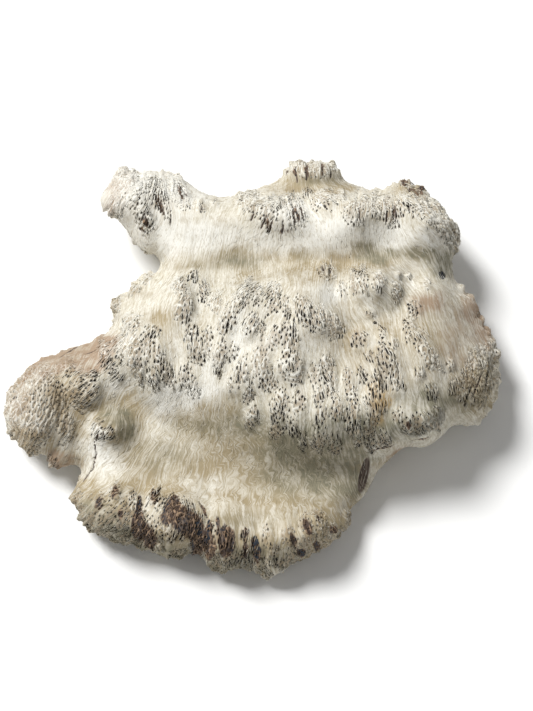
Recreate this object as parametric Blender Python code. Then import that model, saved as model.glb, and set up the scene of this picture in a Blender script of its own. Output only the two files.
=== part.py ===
"""A burl cap, sawn off flat as a blank for turning a bowl: one piece of wood.

It lies on its sawn face (z = 0) with the grown face up. The shape is drawn on a sheet, as
someone sees the blank who looks down on it from the front: x runs to the right and y runs
down the sheet. One sheet unit is UNIT metres. The relief is then raised towards that eye.
"""

import math

import bmesh
import bpy
import numpy as np
from mathutils import Vector, noise
from mathutils.geometry import delaunay_2d_cdt

# Driving dimensions, in metres and degrees.
BLANK_WIDTH = 0.394
EYE_ELEVATION = 68.0
EYE_DISTANCE = 1.5
FRONT_RIM_HEIGHT = 0.012  # where the grown face turns under, above the sawn face
BACK_RIM_HEIGHT = 0.052
SWELLING_BLEND = 0.0065  # how softly one swelling runs into the next
SHOULDER_WIDTH = 0.019  # the rounding of the grown face towards the rim
UNDERSIDE_WIDTH = 0.021  # the rounding below the rim
UNDERSIDE_DEPTH = 0.075
UNDERSIDE_LUMP_SIZE = 0.034  # lumps on the sides, below the rim
UNDERSIDE_LUMP_SHARE = 0.5  # how much of the rounding's width they add or take
BODY_SMOOTHING = 0.020  # the sides below the rim follow no knob or notch that is smaller
UNDERSIDE_CURVE = 0.7  # under 1 the sides turn under at once, and then run down steeply
UNDERSIDE_LEAST_WIDTH = 0.4  # the least share of its width that a lump leaves the rounding
KNOB_SHARE = 0.6  # how far the sides under a knob still keep to its own outline
WANDER_SIZE = 0.045  # how the swellings' edges wander over the sheet
WANDER_REACH = 0.007
SPARE_BELOW_SAW = 0.010  # wood below the saw cut, which the cut takes off
EYE_CLUSTER_RISE = 0.0042  # how far a cluster of bark eyes stands proud
EYE_CLUSTER_REACH = 1.15  # over 1 a cluster has a flat top
KNOBBLE_RISE = 0.0022
KNOBBLE_SIZE = 0.016
GRAIN_CELL = 0.0028  # the size of the cells that the sheet's mesh is evened out to
SOFTEN_ROUNDS = 2
WOOD_FACES = 9300

# The sheet, in its own units.
SHEET_WIDTH = 491.1  # the outline's width on the sheet
SHEET_MIDDLE = (251.0, 369.0)
UNIT = BLANK_WIDTH / SHEET_WIDTH
RING_INSETS = (1.2, 3.0, 6.0, 10.0)  # rings of points just inside the outline
RING_SLACK = 0.9  # a ring's point is left out where a notch brings it nearer than this share
GRID_STEP = 5.0
OUTLINE_STEP = 4.0
INSIDE_OUTLINE = 1  # the triangulation keeps the faces inside the outline
SAME_POINT = 1e-6

# The rim of the blank, round the sheet from the upper left knob's tip.
OUTLINE = [
    (98.8, 199.8), (105.4, 187.3), (116.0, 175.4), (128.6, 168.2), (139.3, 172.0), (150.0, 169.5),
    (171.4, 174.0), (187.5, 182.0), (198.2, 190.0), (210.7, 195.4), (225.0, 197.0), (241.0, 195.0),
    (257.0, 189.0), (276.5, 181.0), (284.0, 170.6), (297.6, 161.0), (314.8, 162.6), (326.3, 160.7),
    (335.8, 164.5), (340.6, 176.3), (347.3, 182.5), (364.5, 187.8), (381.7, 191.6), (388.4, 185.5),
    (402.8, 179.2), (408.5, 179.2), (412.3, 185.5), (421.0, 186.0), (424.8, 197.4), (431.5, 203.0),
    (443.0, 210.8), (452.5, 224.0), (457.3, 239.5), (458.3, 247.0), (453.5, 254.8), (452.0, 270.0),
    (455.4, 281.6), (466.0, 291.0), (477.4, 300.7), (479.3, 310.0), (476.4, 317.0), (487.0, 325.6),
    (491.7, 341.0), (495.6, 354.0), (494.6, 367.6), (496.5, 381.0), (495.6, 396.4), (488.9, 409.8),
    (482.0, 420.4), (469.7, 426.0), (454.4, 424.0), (446.8, 429.0), (439.0, 439.6), (423.8, 448.0),
    (406.6, 446.0), (400.9, 449.0), (389.4, 459.7), (376.0, 473.0), (372.0, 484.5), (362.6, 499.0),
    (348.0, 511.0), (350.0, 522.8), (340.6, 533.0), (334.9, 536.0), (330.0, 544.8), (314.8, 553.4),
    (301.4, 560.0), (291.8, 562.0), (286.0, 573.5), (274.6, 575.4), (266.0, 575.4), (257.4, 568.7),
    (245.0, 565.8), (236.3, 569.7), (223.0, 569.7), (213.4, 566.8), (205.7, 558.0), (190.0, 551.0),
    (176.8, 558.4), (171.4, 554.0), (160.7, 557.5), (154.5, 547.7), (147.3, 548.2), (142.9, 544.0),
    (132.0, 547.0), (125.0, 543.0), (112.5, 541.4), (100.0, 535.0), (89.3, 527.0), (85.7, 521.8),
    (78.6, 512.9), (73.6, 500.4), (73.6, 487.9), (83.0, 473.6), (78.6, 462.9), (67.9, 466.4),
    (57.0, 470.5), (48.2, 462.9), (50.9, 455.7), (50.0, 451.8), (28.6, 453.6), (19.6, 445.0),
    (7.1, 429.0), (5.4, 416.4), (8.0, 396.8), (13.4, 386.0), (26.8, 371.8), (39.3, 359.3),
    (57.0, 353.0), (67.9, 347.7), (85.7, 344.0), (100.0, 338.8), (114.3, 327.5), (116.0, 318.6),
    (110.7, 315.0), (109.8, 305.0), (112.5, 295.4), (125.0, 295.4), (129.5, 284.6), (140.0, 282.0),
    (142.9, 275.7), (150.0, 273.0), (158.0, 273.6), (161.6, 265.0), (159.0, 256.0), (141.0, 250.7),
    (132.0, 240.0), (123.2, 225.7), (107.0, 213.2),
]  # fmt: skip

# The swellings of the grown face. Each has its crest at x, y on the sheet, and falls by drop at
# side units to left and right, down units below and up units above. top and drop are metres.
SWELLINGS = {
    "dome_middle": dict(at=(285, 318), side=115, down=108, up=46, lean=0, top=0.113, drop=0.034),
    "dome_right": dict(at=(398, 350), side=74, down=90, up=62, lean=-12, top=0.105, drop=0.034),
    "dome_left": dict(at=(160, 342), side=56, down=58, up=48, lean=12, top=0.092, drop=0.032),
    "dome_lower": dict(at=(335, 408), side=84, down=44, up=60, lean=-8, top=0.097, drop=0.032),
    "dome_heel": dict(at=(420, 420), side=40, down=28, up=45, lean=-20, top=0.079, drop=0.030),
    "brow_left": dict(at=(184, 300), side=24, down=40, up=22, lean=8, top=0.101, drop=0.018),
    "brow_middle": dict(at=(240, 303), side=22, down=36, up=20, lean=12, top=0.108, drop=0.018),
    "brow_crown": dict(at=(305, 292), side=30, down=36, up=20, lean=-8, top=0.116, drop=0.016),
    "brow_right": dict(at=(372, 287), side=30, down=34, up=20, lean=0, top=0.112, drop=0.018),
    "brow_end": dict(at=(425, 300), side=26, down=34, up=18, lean=-25, top=0.097, drop=0.020),
    "back_valley": dict(at=(315, 262), side=190, down=16, up=16, lean=0, top=0.081, drop=0.004),
    "back_ridge": dict(at=(300, 212), side=150, down=50, up=24, lean=0, top=0.099, drop=0.022),
    "back_ridge_left": dict(at=(268, 210), side=42, down=34, up=20, lean=10, top=0.103, drop=0.020),
    "back_ridge_right": dict(at=(352, 208), side=44, down=32, up=20, lean=0, top=0.104, drop=0.020),
    "back_ridge_end": dict(at=(420, 218), side=44, down=40, up=26, lean=-25, top=0.101, drop=0.026),
    "back_ridge_saddle": dict(at=(210, 220), side=60, down=40, up=26, lean=0, top=0.087, drop=0.020),
    "corner_knob": dict(at=(140, 198), side=46, down=46, up=34, lean=15, top=0.090, drop=0.030),
    "crown_knob": dict(at=(312, 168), side=38, down=20, up=18, lean=0, top=0.084, drop=0.026),
    "small_back_knob": dict(at=(408, 186), side=22, down=14, up=14, lean=0, top=0.082, drop=0.022),
    "left_bumps": dict(at=(138, 288), side=30, down=22, up=16, lean=35, top=0.069, drop=0.020),
    "side_lobe": dict(at=(40, 392), side=44, down=62, up=40, lean=0, top=0.068, drop=0.030),
    "side_lobe_neck": dict(at=(88, 378), side=44, down=40, up=34, lean=0, top=0.070, drop=0.026),
    "stub": dict(at=(58, 461), side=22, down=12, up=12, lean=20, top=0.036, drop=0.018),
    "lone_bump": dict(at=(108, 424), side=26, down=24, up=22, lean=20, top=0.061, drop=0.016),
    "front_ridge_left": dict(at=(112, 508), side=50, down=44, up=34, lean=-12, top=0.053, drop=0.024),
    "front_ridge_bark": dict(at=(172, 520), side=34, down=44, up=34, lean=-8, top=0.056, drop=0.022),
    "front_ridge_middle": dict(at=(226, 528), side=46, down=44, up=40, lean=0, top=0.052, drop=0.024),
    "front_ridge_right": dict(at=(292, 528), side=58, down=44, up=44, lean=18, top=0.053, drop=0.024),
    "hollow_shelf": dict(at=(205, 445), side=150, down=95, up=80, lean=0, top=0.044, drop=0.016),
    "neck": dict(at=(352, 470), side=52, down=52, up=46, lean=-20, top=0.038, drop=0.018),
    "right_rim_upper": dict(at=(468, 312), side=24, down=26, up=26, lean=0, top=0.065, drop=0.022),
    "right_rim_lower": dict(at=(480, 380), side=22, down=46, up=46, lean=8, top=0.064, drop=0.022),
}  # fmt: skip
GROUND_FRONT_HEIGHT = 0.030  # the wood between the swellings, at the front and at the back
GROUND_BACK_HEIGHT = 0.066

# Clusters of bark eyes that stand proud of the face: x, y, half width, half length, lean.
# A positive lean tips a cluster's upper end to the right, in degrees.
EYE_CLUSTERS = [
    (131, 187, 26, 14, 60), (145, 217, 9, 16, -15), (170, 199, 13, 21, -20),
    (252, 203, 15, 11, 30), (283, 214, 24, 17, 0), (324, 199, 13, 10, 0), (354, 213, 10, 13, 0),
    (371, 208, 12, 12, 0), (390, 211, 10, 15, 0), (409, 205, 14, 12, 0), (431, 214, 10, 13, 20),
    (445, 228, 9, 15, -30), (311, 168, 25, 9, 0), (405, 184, 8, 8, 0), (420, 190, 6, 7, 0),
    (148, 280, 8, 7, -50), (133, 291, 8, 8, 0), (115, 303, 7, 10, 0),
    (184, 300, 12, 24, 0), (203, 292, 6, 14, -10), (216, 305, 8, 12, 0), (241, 300, 8, 23, 30),
    (227, 323, 8, 15, 20), (197, 342, 11, 20, 0), (220, 352, 9, 17, 15), (262, 300, 16, 18, 0),
    (251, 327, 8, 11, 20), (305, 313, 9, 19, -25), (283, 336, 15, 17, 15), (327, 321, 14, 15, -20),
    (327, 272, 10, 8, 0), (343, 289, 5, 10, 0), (359, 283, 11, 14, 0), (378, 281, 6, 12, 0),
    (396, 295, 7, 11, 0), (414, 309, 6, 10, 0), (361, 342, 12, 14, 0), (386, 358, 13, 26, 0),
    (410, 331, 7, 14, -15), (426, 352, 10, 22, -35), (133, 325, 12, 12, 0), (111, 357, 12, 22, -15),
    (138, 352, 14, 24, 0), (160, 362, 10, 22, -15), (188, 380, 14, 16, -12), (242, 376, 12, 22, 10),
    (263, 368, 10, 22, 0), (291, 362, 15, 20, 0), (278, 408, 13, 24, 15), (252, 416, 6, 12, 20),
    (300, 408, 9, 22, -8), (322, 392, 12, 26, 0), (320, 432, 10, 14, 0), (338, 415, 11, 26, 0),
    (353, 385, 10, 18, 0), (360, 420, 12, 22, 0), (378, 398, 14, 22, 0), (385, 432, 14, 12, 0),
    (405, 420, 12, 12, 0), (428, 418, 14, 14, 20), (482, 380, 10, 26, 10),
    (26, 395, 20, 26, 30), (50, 388, 12, 22, 0), (66, 370, 10, 10, 0), (36, 424, 20, 24, 0),
    (65, 425, 10, 16, 0), (76, 391, 7, 15, 10), (89, 393, 8, 18, 20), (107, 427, 16, 14, 0),
    (84, 498, 9, 10, 0), (115, 494, 7, 9, 0), (155, 500, 7, 11, 0), (100, 518, 14, 18, -10),
    (122, 516, 8, 14, 0), (142, 524, 13, 22, -20), (176, 520, 17, 22, 0), (199, 536, 12, 20, 0),
    (222, 540, 11, 20, 0), (247, 542, 6, 18, 0), (262, 547, 7, 16, -10), (275, 540, 8, 14, 0),
    (290, 540, 8, 15, -10), (306, 532, 9, 16, -20), (320, 522, 9, 14, -25), (336, 528, 8, 8, 0),
    (280, 566, 10, 7, 0),
]  # fmt: skip

WOOD_COLOUR = (0.62, 0.53, 0.42, 1.0)
WOOD_ROUGHNESS = 0.8


def clear_scene():
    for obj in list(bpy.data.objects):
        bpy.data.objects.remove(obj)


def smooth_outline():
    """The outline as a closed smooth curve through its points, one point every OUTLINE_STEP."""
    corners = [np.array(corner) for corner in OUTLINE]
    points = []
    for i, start in enumerate(corners):
        before = corners[i - 1]
        end = corners[(i + 1) % len(corners)]
        after = corners[(i + 2) % len(corners)]
        pieces = max(1, round(float(np.linalg.norm(end - start)) / OUTLINE_STEP))
        for piece in range(pieces):
            t = piece / pieces
            points.append(0.5 * (
                2 * start
                + (end - before) * t
                + (2 * before - 5 * start + 4 * end - after) * t**2
                + (3 * start - before - 3 * end + after) * t**3
            ))  # fmt: skip
    return np.array(points)


def distance_inside(points, outline):
    """How far each point lies inside the outline. It is negative outside."""
    ends = np.roll(outline, -1, axis=0)
    nearest = np.full(len(points), np.inf)
    crossings = np.zeros(len(points), int)
    for start, end in zip(outline, ends):
        run = end - start
        along = np.clip(((points - start) @ run) / (run @ run), 0, 1)
        gap = points - (start + along[:, None] * run)
        nearest = np.minimum(nearest, np.hypot(gap[:, 0], gap[:, 1]))
        spans = (start[1] > points[:, 1]) != (end[1] > points[:, 1])
        if run[1]:
            hit = start[0] + (points[:, 1] - start[1]) * run[0] / run[1]
            crossings += spans & (points[:, 0] < hit)
    return np.where(crossings % 2 == 1, nearest, -nearest)


def body_outline(outline):
    """The outline without its small knobs and notches."""
    spread = BODY_SMOOTHING / UNIT / OUTLINE_STEP
    reach = round(3 * spread)
    weights = {step: math.exp(-0.5 * (step / spread) ** 2) for step in range(-reach, reach + 1)}
    blurred = sum(weight * np.roll(outline, step, axis=0) for step, weight in weights.items())
    return blurred / sum(weights.values())


def sheet_points(outline):
    """The outline's points, rings just inside it, and a staggered grid over the rest."""
    sets = [outline]
    tangent = np.roll(outline, -1, axis=0) - np.roll(outline, 1, axis=0)
    inward = np.stack([-tangent[:, 1], tangent[:, 0]], axis=1)
    inward /= np.linalg.norm(inward, axis=1)[:, None]
    for inset in RING_INSETS:
        ring = outline + inward * inset
        sets.append(ring[distance_inside(ring, outline) > RING_SLACK * inset])
    low, high = outline.min(axis=0), outline.max(axis=0)
    rows = np.arange(low[1], high[1], GRID_STEP * math.sqrt(3) / 2)
    grid = [
        (x + (row % 2) * GRID_STEP / 2, y)
        for row, y in enumerate(rows)
        for x in np.arange(low[0], high[0], GRID_STEP)
    ]
    grid = np.array(grid)
    sets.append(grid[distance_inside(grid, outline) > RING_INSETS[-1] + GRID_STEP / 2])
    return np.concatenate(sets)


def turned_offsets(points, middle, lean):
    """Offsets from middle, turned so that the second one runs down along a leaning feature."""
    turn = math.radians(lean)
    offset = points - np.array(middle)
    across = offset[:, 0] * math.cos(turn) + offset[:, 1] * math.sin(turn)
    along = -offset[:, 0] * math.sin(turn) + offset[:, 1] * math.cos(turn)
    return across, along


def swelling_height(points, at, side, down, up, lean, top, drop):
    across, along = turned_offsets(points, at, lean)
    reach = np.where(along > 0, down, up)
    return top - drop * ((across / side) ** 2 + (along / reach) ** 2)


def cluster_rise(points):
    """How far the clusters of bark eyes raise the face."""
    rise = np.zeros(len(points))
    for x, y, half_width, half_length, lean in EYE_CLUSTERS:
        across, along = turned_offsets(points, (x, y), lean)
        share = (across / half_width) ** 2 + (along / half_length) ** 2
        rise = np.maximum(rise, np.clip(EYE_CLUSTER_REACH - share, 0, 1))
    knobbles = np.array([
        noise.noise(Vector((x, y, 0)) * UNIT / KNOBBLE_SIZE) for x, y in points
    ])  # fmt: skip
    return rise * (EYE_CLUSTER_RISE + KNOBBLE_RISE * knobbles)


def wander(points):
    """The sheet's points, moved a little so that no swelling keeps a ruled edge."""
    moved = []
    for x, y in points:
        shift = noise.noise_vector(Vector((x, y, 0)) * UNIT / WANDER_SIZE)
        moved.append((x + shift.x * WANDER_REACH / UNIT, y + shift.y * WANDER_REACH / UNIT))
    return np.array(moved)


def front_share(points):
    """0 at the back edge of the sheet, 1 at its front edge."""
    ys = [y for _, y in OUTLINE]
    return (points[:, 1] - min(ys)) / (max(ys) - min(ys))


def face_height(points):
    """The height of the grown face above the sawn face, away from the rim."""
    share = front_share(points)
    heights = [GROUND_BACK_HEIGHT + (GROUND_FRONT_HEIGHT - GROUND_BACK_HEIGHT) * share]
    moved = wander(points)
    heights += [swelling_height(moved, **swelling) for swelling in SWELLINGS.values()]
    heights = np.array(heights) / SWELLING_BLEND
    peak = heights.max(axis=0)
    blended = peak + np.log(np.exp(heights - peak).sum(axis=0))
    return blended * SWELLING_BLEND + cluster_rise(points)


def depth_for_height(points, height):
    """How far towards the eye a point of the sheet has to be raised to lie at this height."""
    tilt = math.radians(EYE_ELEVATION)
    rise = (SHEET_MIDDLE[1] - points[:, 1]) * UNIT * math.cos(tilt)
    return (height - rise) / (math.sin(tilt) - rise / EYE_DISTANCE)


def place(points, depth):
    """Sheet points, raised by depth towards the eye, in the blank's own frame."""
    tilt = math.radians(EYE_ELEVATION)
    shrink = 1 - depth / EYE_DISTANCE
    right = (points[:, 0] - SHEET_MIDDLE[0]) * UNIT * shrink
    up = (SHEET_MIDDLE[1] - points[:, 1]) * UNIT * shrink
    return np.stack([
        right,
        up * math.sin(tilt) - depth * math.cos(tilt),
        up * math.cos(tilt) + depth * math.sin(tilt),
    ], axis=1)  # fmt: skip


def face_and_underside(points, inside, inside_body):
    """The places of the sheet's points on the grown face, and on the underside."""
    inside = np.clip(inside, 0, None) * UNIT
    inside_body = np.clip(inside_body, 0, None) * UNIT
    share = front_share(points)
    rim_height = BACK_RIM_HEIGHT + (FRONT_RIM_HEIGHT - BACK_RIM_HEIGHT) * share
    rim = depth_for_height(points, rim_height)
    shoulder = np.clip(inside / SHOULDER_WIDTH, 0, 1)
    rounding = np.sqrt(1 - (1 - shoulder) ** 2)
    face = rim + (depth_for_height(points, face_height(points)) - rim) * rounding
    spare = depth_for_height(points, np.full(len(points), -SPARE_BELOW_SAW))
    sunk = KNOB_SHARE * inside + (1 - KNOB_SHARE) * np.minimum(inside, inside_body)
    even = place(points, np.maximum(rim - UNDERSIDE_DEPTH * sunk / UNDERSIDE_WIDTH, spare))
    lumps = np.array([noise.noise(Vector(spot) / UNDERSIDE_LUMP_SIZE) for spot in even])
    width = UNDERSIDE_WIDTH * np.clip(1 + UNDERSIDE_LUMP_SHARE * lumps, UNDERSIDE_LEAST_WIDTH, None)
    under = rim - UNDERSIDE_DEPTH * (sunk / width) ** UNDERSIDE_CURVE
    return place(points, face), place(points, np.maximum(under, spare))


def rough_burl():
    """The closed shell of the burl, before it is evened out and sawn."""
    outline = smooth_outline()
    points = sheet_points(outline)
    edges = [(i, (i + 1) % len(outline)) for i in range(len(outline))]
    corners = [Vector(point) for point in points]
    net = delaunay_2d_cdt(corners, edges, [], INSIDE_OUTLINE, SAME_POINT)
    net_points, _, net_faces, net_sources, _, _ = net
    points = np.array([tuple(point) for point in net_points])
    on_rim = np.array([any(i < len(outline) for i in source) for source in net_sources])
    inside = np.where(on_rim, 0.0, distance_inside(points, outline))
    inside_body = distance_inside(points, body_outline(outline))
    face, under = face_and_underside(points, inside, inside_body)

    shell = bmesh.new()
    upper = [shell.verts.new(spot) for spot in face]
    lower = [upper[i] if on_rim[i] else shell.verts.new(under[i]) for i in range(len(under))]
    for cell in net_faces:
        shell.faces.new([upper[i] for i in cell])
        if not all(on_rim[i] for i in cell):
            shell.faces.new([lower[i] for i in reversed(cell)])
    bmesh.ops.recalc_face_normals(shell, faces=shell.faces)
    mesh = bpy.data.meshes.new("burl_blank")
    shell.to_mesh(mesh)
    shell.free()
    burl = bpy.data.objects.new("burl_blank", mesh)
    bpy.context.scene.collection.objects.link(burl)
    return burl


def even_out(burl):
    """One skin of even faces, then as few faces as the shape needs."""
    remesh = burl.modifiers.new("even_cells", "REMESH")
    remesh.mode = "VOXEL"
    remesh.voxel_size = GRAIN_CELL
    remesh.use_smooth_shade = True
    soften = burl.modifiers.new("soften_cells", "SMOOTH")
    soften.factor = 0.5
    soften.iterations = SOFTEN_ROUNDS
    fewer = burl.modifiers.new("fewer_faces", "DECIMATE")
    bpy.context.view_layer.update()
    evaluated = burl.evaluated_get(bpy.context.evaluated_depsgraph_get())
    evaluated.data.calc_loop_triangles()
    fewer.ratio = WOOD_FACES / len(evaluated.data.loop_triangles)


def saw_flat(burl):
    """The saw cut: all wood below z = 0 is taken off."""
    bpy.ops.mesh.primitive_cube_add(size=1)
    waste = bpy.context.object
    waste.name = "saw_waste"
    waste.scale = (2 * BLANK_WIDTH, 2 * BLANK_WIDTH, BLANK_WIDTH)
    waste.location.z = -BLANK_WIDTH / 2
    waste.hide_render = True
    waste.display_type = "WIRE"
    cut = burl.modifiers.new("saw_cut", "BOOLEAN")
    cut.operation = "DIFFERENCE"
    cut.solver = "EXACT"
    cut.object = waste


def wood():
    material = bpy.data.materials.new("weathered_burl")
    material.use_nodes = True
    shader = material.node_tree.nodes["Principled BSDF"]
    shader.inputs["Base Color"].default_value = WOOD_COLOUR
    shader.inputs["Roughness"].default_value = WOOD_ROUGHNESS
    shader.inputs["Metallic"].default_value = 0.0
    return material


def main():
    clear_scene()
    burl = rough_burl()
    burl.data.materials.append(wood())
    even_out(burl)
    saw_flat(burl)


main()
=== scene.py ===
# %% [markdown]
# # A burl bowl blank
# A burl is a swelling on a trunk that is full of buds which never opened. Under the bark each bud leaves
# a small pit, an eye, and the wood between the eyes is combed like hair. This blank is a cap of such a
# burl. Its bark is off, its flat side is sawn, and it lies on that side with the grown face up.

# %% Load the blank as it was built
import math

import bpy
import numpy as np
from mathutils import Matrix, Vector, bvhtree, kdtree, noise


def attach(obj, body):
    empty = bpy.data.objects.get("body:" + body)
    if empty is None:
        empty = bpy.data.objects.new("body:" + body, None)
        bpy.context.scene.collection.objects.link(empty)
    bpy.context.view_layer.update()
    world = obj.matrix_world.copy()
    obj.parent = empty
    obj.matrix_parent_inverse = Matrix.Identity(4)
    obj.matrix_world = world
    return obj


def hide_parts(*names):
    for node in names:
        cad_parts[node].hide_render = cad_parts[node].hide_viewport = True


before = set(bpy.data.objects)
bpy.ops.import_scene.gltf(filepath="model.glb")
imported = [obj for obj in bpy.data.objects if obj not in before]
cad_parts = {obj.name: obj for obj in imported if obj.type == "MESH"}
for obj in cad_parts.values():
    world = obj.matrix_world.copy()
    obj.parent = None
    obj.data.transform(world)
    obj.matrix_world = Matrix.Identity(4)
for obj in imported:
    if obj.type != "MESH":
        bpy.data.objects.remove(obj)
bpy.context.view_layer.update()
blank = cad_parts["burl_blank"]

# %% [markdown]
# ## Where the eye looks from
# All that grows on the face is placed on a sheet: the blank as someone sees it who looks down on it
# from the front. Sheet x runs to the right and sheet y runs down. A sheet needs a camera that stays
# put, so the camera comes first, and the same few values turn any point of the wood into sheet places.

# %% The eye and its sheet
SHEET_WIDTH = 491.1  # sheet units from the left end of the blank to its right end
SAWN_WIDTH = 0.394  # metres that as many units span on the plane of the sawn face
SHEET_MIDDLE = (251.0, 369.0)
SHEET_FRAME = (533, 711)
UNIT = SAWN_WIDTH / SHEET_WIDTH
EYE_ELEVATION = math.radians(68.0)
EYE_DISTANCE = 1.5
TO_RIGHT = np.array([1.0, 0.0, 0.0])
UP_SHEET = np.array([0.0, math.sin(EYE_ELEVATION), math.cos(EYE_ELEVATION)])
TO_EYE = np.array([0.0, -math.cos(EYE_ELEVATION), math.sin(EYE_ELEVATION)])


def on_sheet(points):
    """The sheet places, x and y, of points in metres."""
    nearer = 1 - (points @ TO_EYE) / EYE_DISTANCE
    x = SHEET_MIDDLE[0] + (points @ TO_RIGHT) / (nearer * UNIT)
    y = SHEET_MIDDLE[1] - (points @ UP_SHEET) / (nearer * UNIT)
    return np.stack([x, y], axis=1)


camera_data = bpy.data.cameras.new("eye")
camera_data.sensor_fit = "VERTICAL"
camera_data.sensor_height = 36.0
camera_data.lens = camera_data.sensor_height * EYE_DISTANCE / (SHEET_FRAME[1] * UNIT)
camera_data.shift_x = (SHEET_FRAME[0] / 2 - SHEET_MIDDLE[0]) / SHEET_FRAME[1]
camera_data.shift_y = (SHEET_MIDDLE[1] - SHEET_FRAME[1] / 2) / SHEET_FRAME[1]
camera = bpy.data.objects.new("eye", camera_data)
camera.location = TO_EYE * EYE_DISTANCE
camera.rotation_euler = Vector(TO_EYE).to_track_quat("Z", "Y").to_euler()
bpy.context.scene.collection.objects.link(camera)
bpy.context.scene.camera = camera
print("lens:", round(camera_data.lens, 1), "mm")

# %% [markdown]
# ## A finer skin for the wood
# The blank's own faces are several millimetres wide, too wide for eyes of one or two. Subdividing them
# would keep their long thin shapes, so a copy is evened out with a voxel remesh. The copy first reaches
# below the saw cut, so that the cut can be made again at the end, through the finished relief.

# %% Copy the blank and even it out
SAW_SPARE = 0.004
SKIN_CELL = 0.0039
SKIN_SOFTENING = 4
MERGE_DISTANCE = 0.00001
SAWN_BELOW = 0.00005  # points lower than this lie on the saw cut


def work_on(piece):
    bpy.ops.object.select_all(action="DESELECT")
    piece.select_set(True)
    bpy.context.view_layer.objects.active = piece


def apply_modifier(piece, kind, **settings):
    work_on(piece)
    modifier = piece.modifiers.new(kind.lower(), kind)
    for name, value in settings.items():
        setattr(modifier, name, value)
    bpy.ops.object.modifier_apply(modifier=modifier.name)


def read_points(mesh):
    points = np.empty(len(mesh.vertices) * 3)
    mesh.vertices.foreach_get("co", points)
    return points.reshape(-1, 3)


def read_normals(mesh):
    normals = np.empty(len(mesh.vertices) * 3)
    mesh.vertex_normals.foreach_get("vector", normals)
    return normals.reshape(-1, 3)


wood = bpy.data.objects.new("burl_wood", blank.data.copy())
bpy.context.scene.collection.objects.link(wood)
work_on(wood)
bpy.ops.object.mode_set(mode="EDIT")
bpy.ops.mesh.select_all(action="SELECT")
bpy.ops.mesh.remove_doubles(threshold=MERGE_DISTANCE)
bpy.ops.object.mode_set(mode="OBJECT")
points = read_points(wood.data)
points[points[:, 2] < SAWN_BELOW, 2] -= SAW_SPARE
wood.data.vertices.foreach_set("co", points.ravel())
apply_modifier(wood, "REMESH", mode="VOXEL", voxel_size=SKIN_CELL)
apply_modifier(wood, "SMOOTH", factor=0.5, iterations=SKIN_SOFTENING)
print("skin:", len(wood.data.polygons), "faces")

# %% [markdown]
# ## Where the eyes stand
# The eyes stand in clusters, and each cluster is an oval on the sheet: its middle, its half width and
# half length, and by how many degrees its upper end leans to the right, where it leans. They could
# also be painted on an image, but ovals need no file and are easy to move. Noise bends them, and they
# grow together as real ones do. On the hidden sides, noise alone places the clusters.

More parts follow.
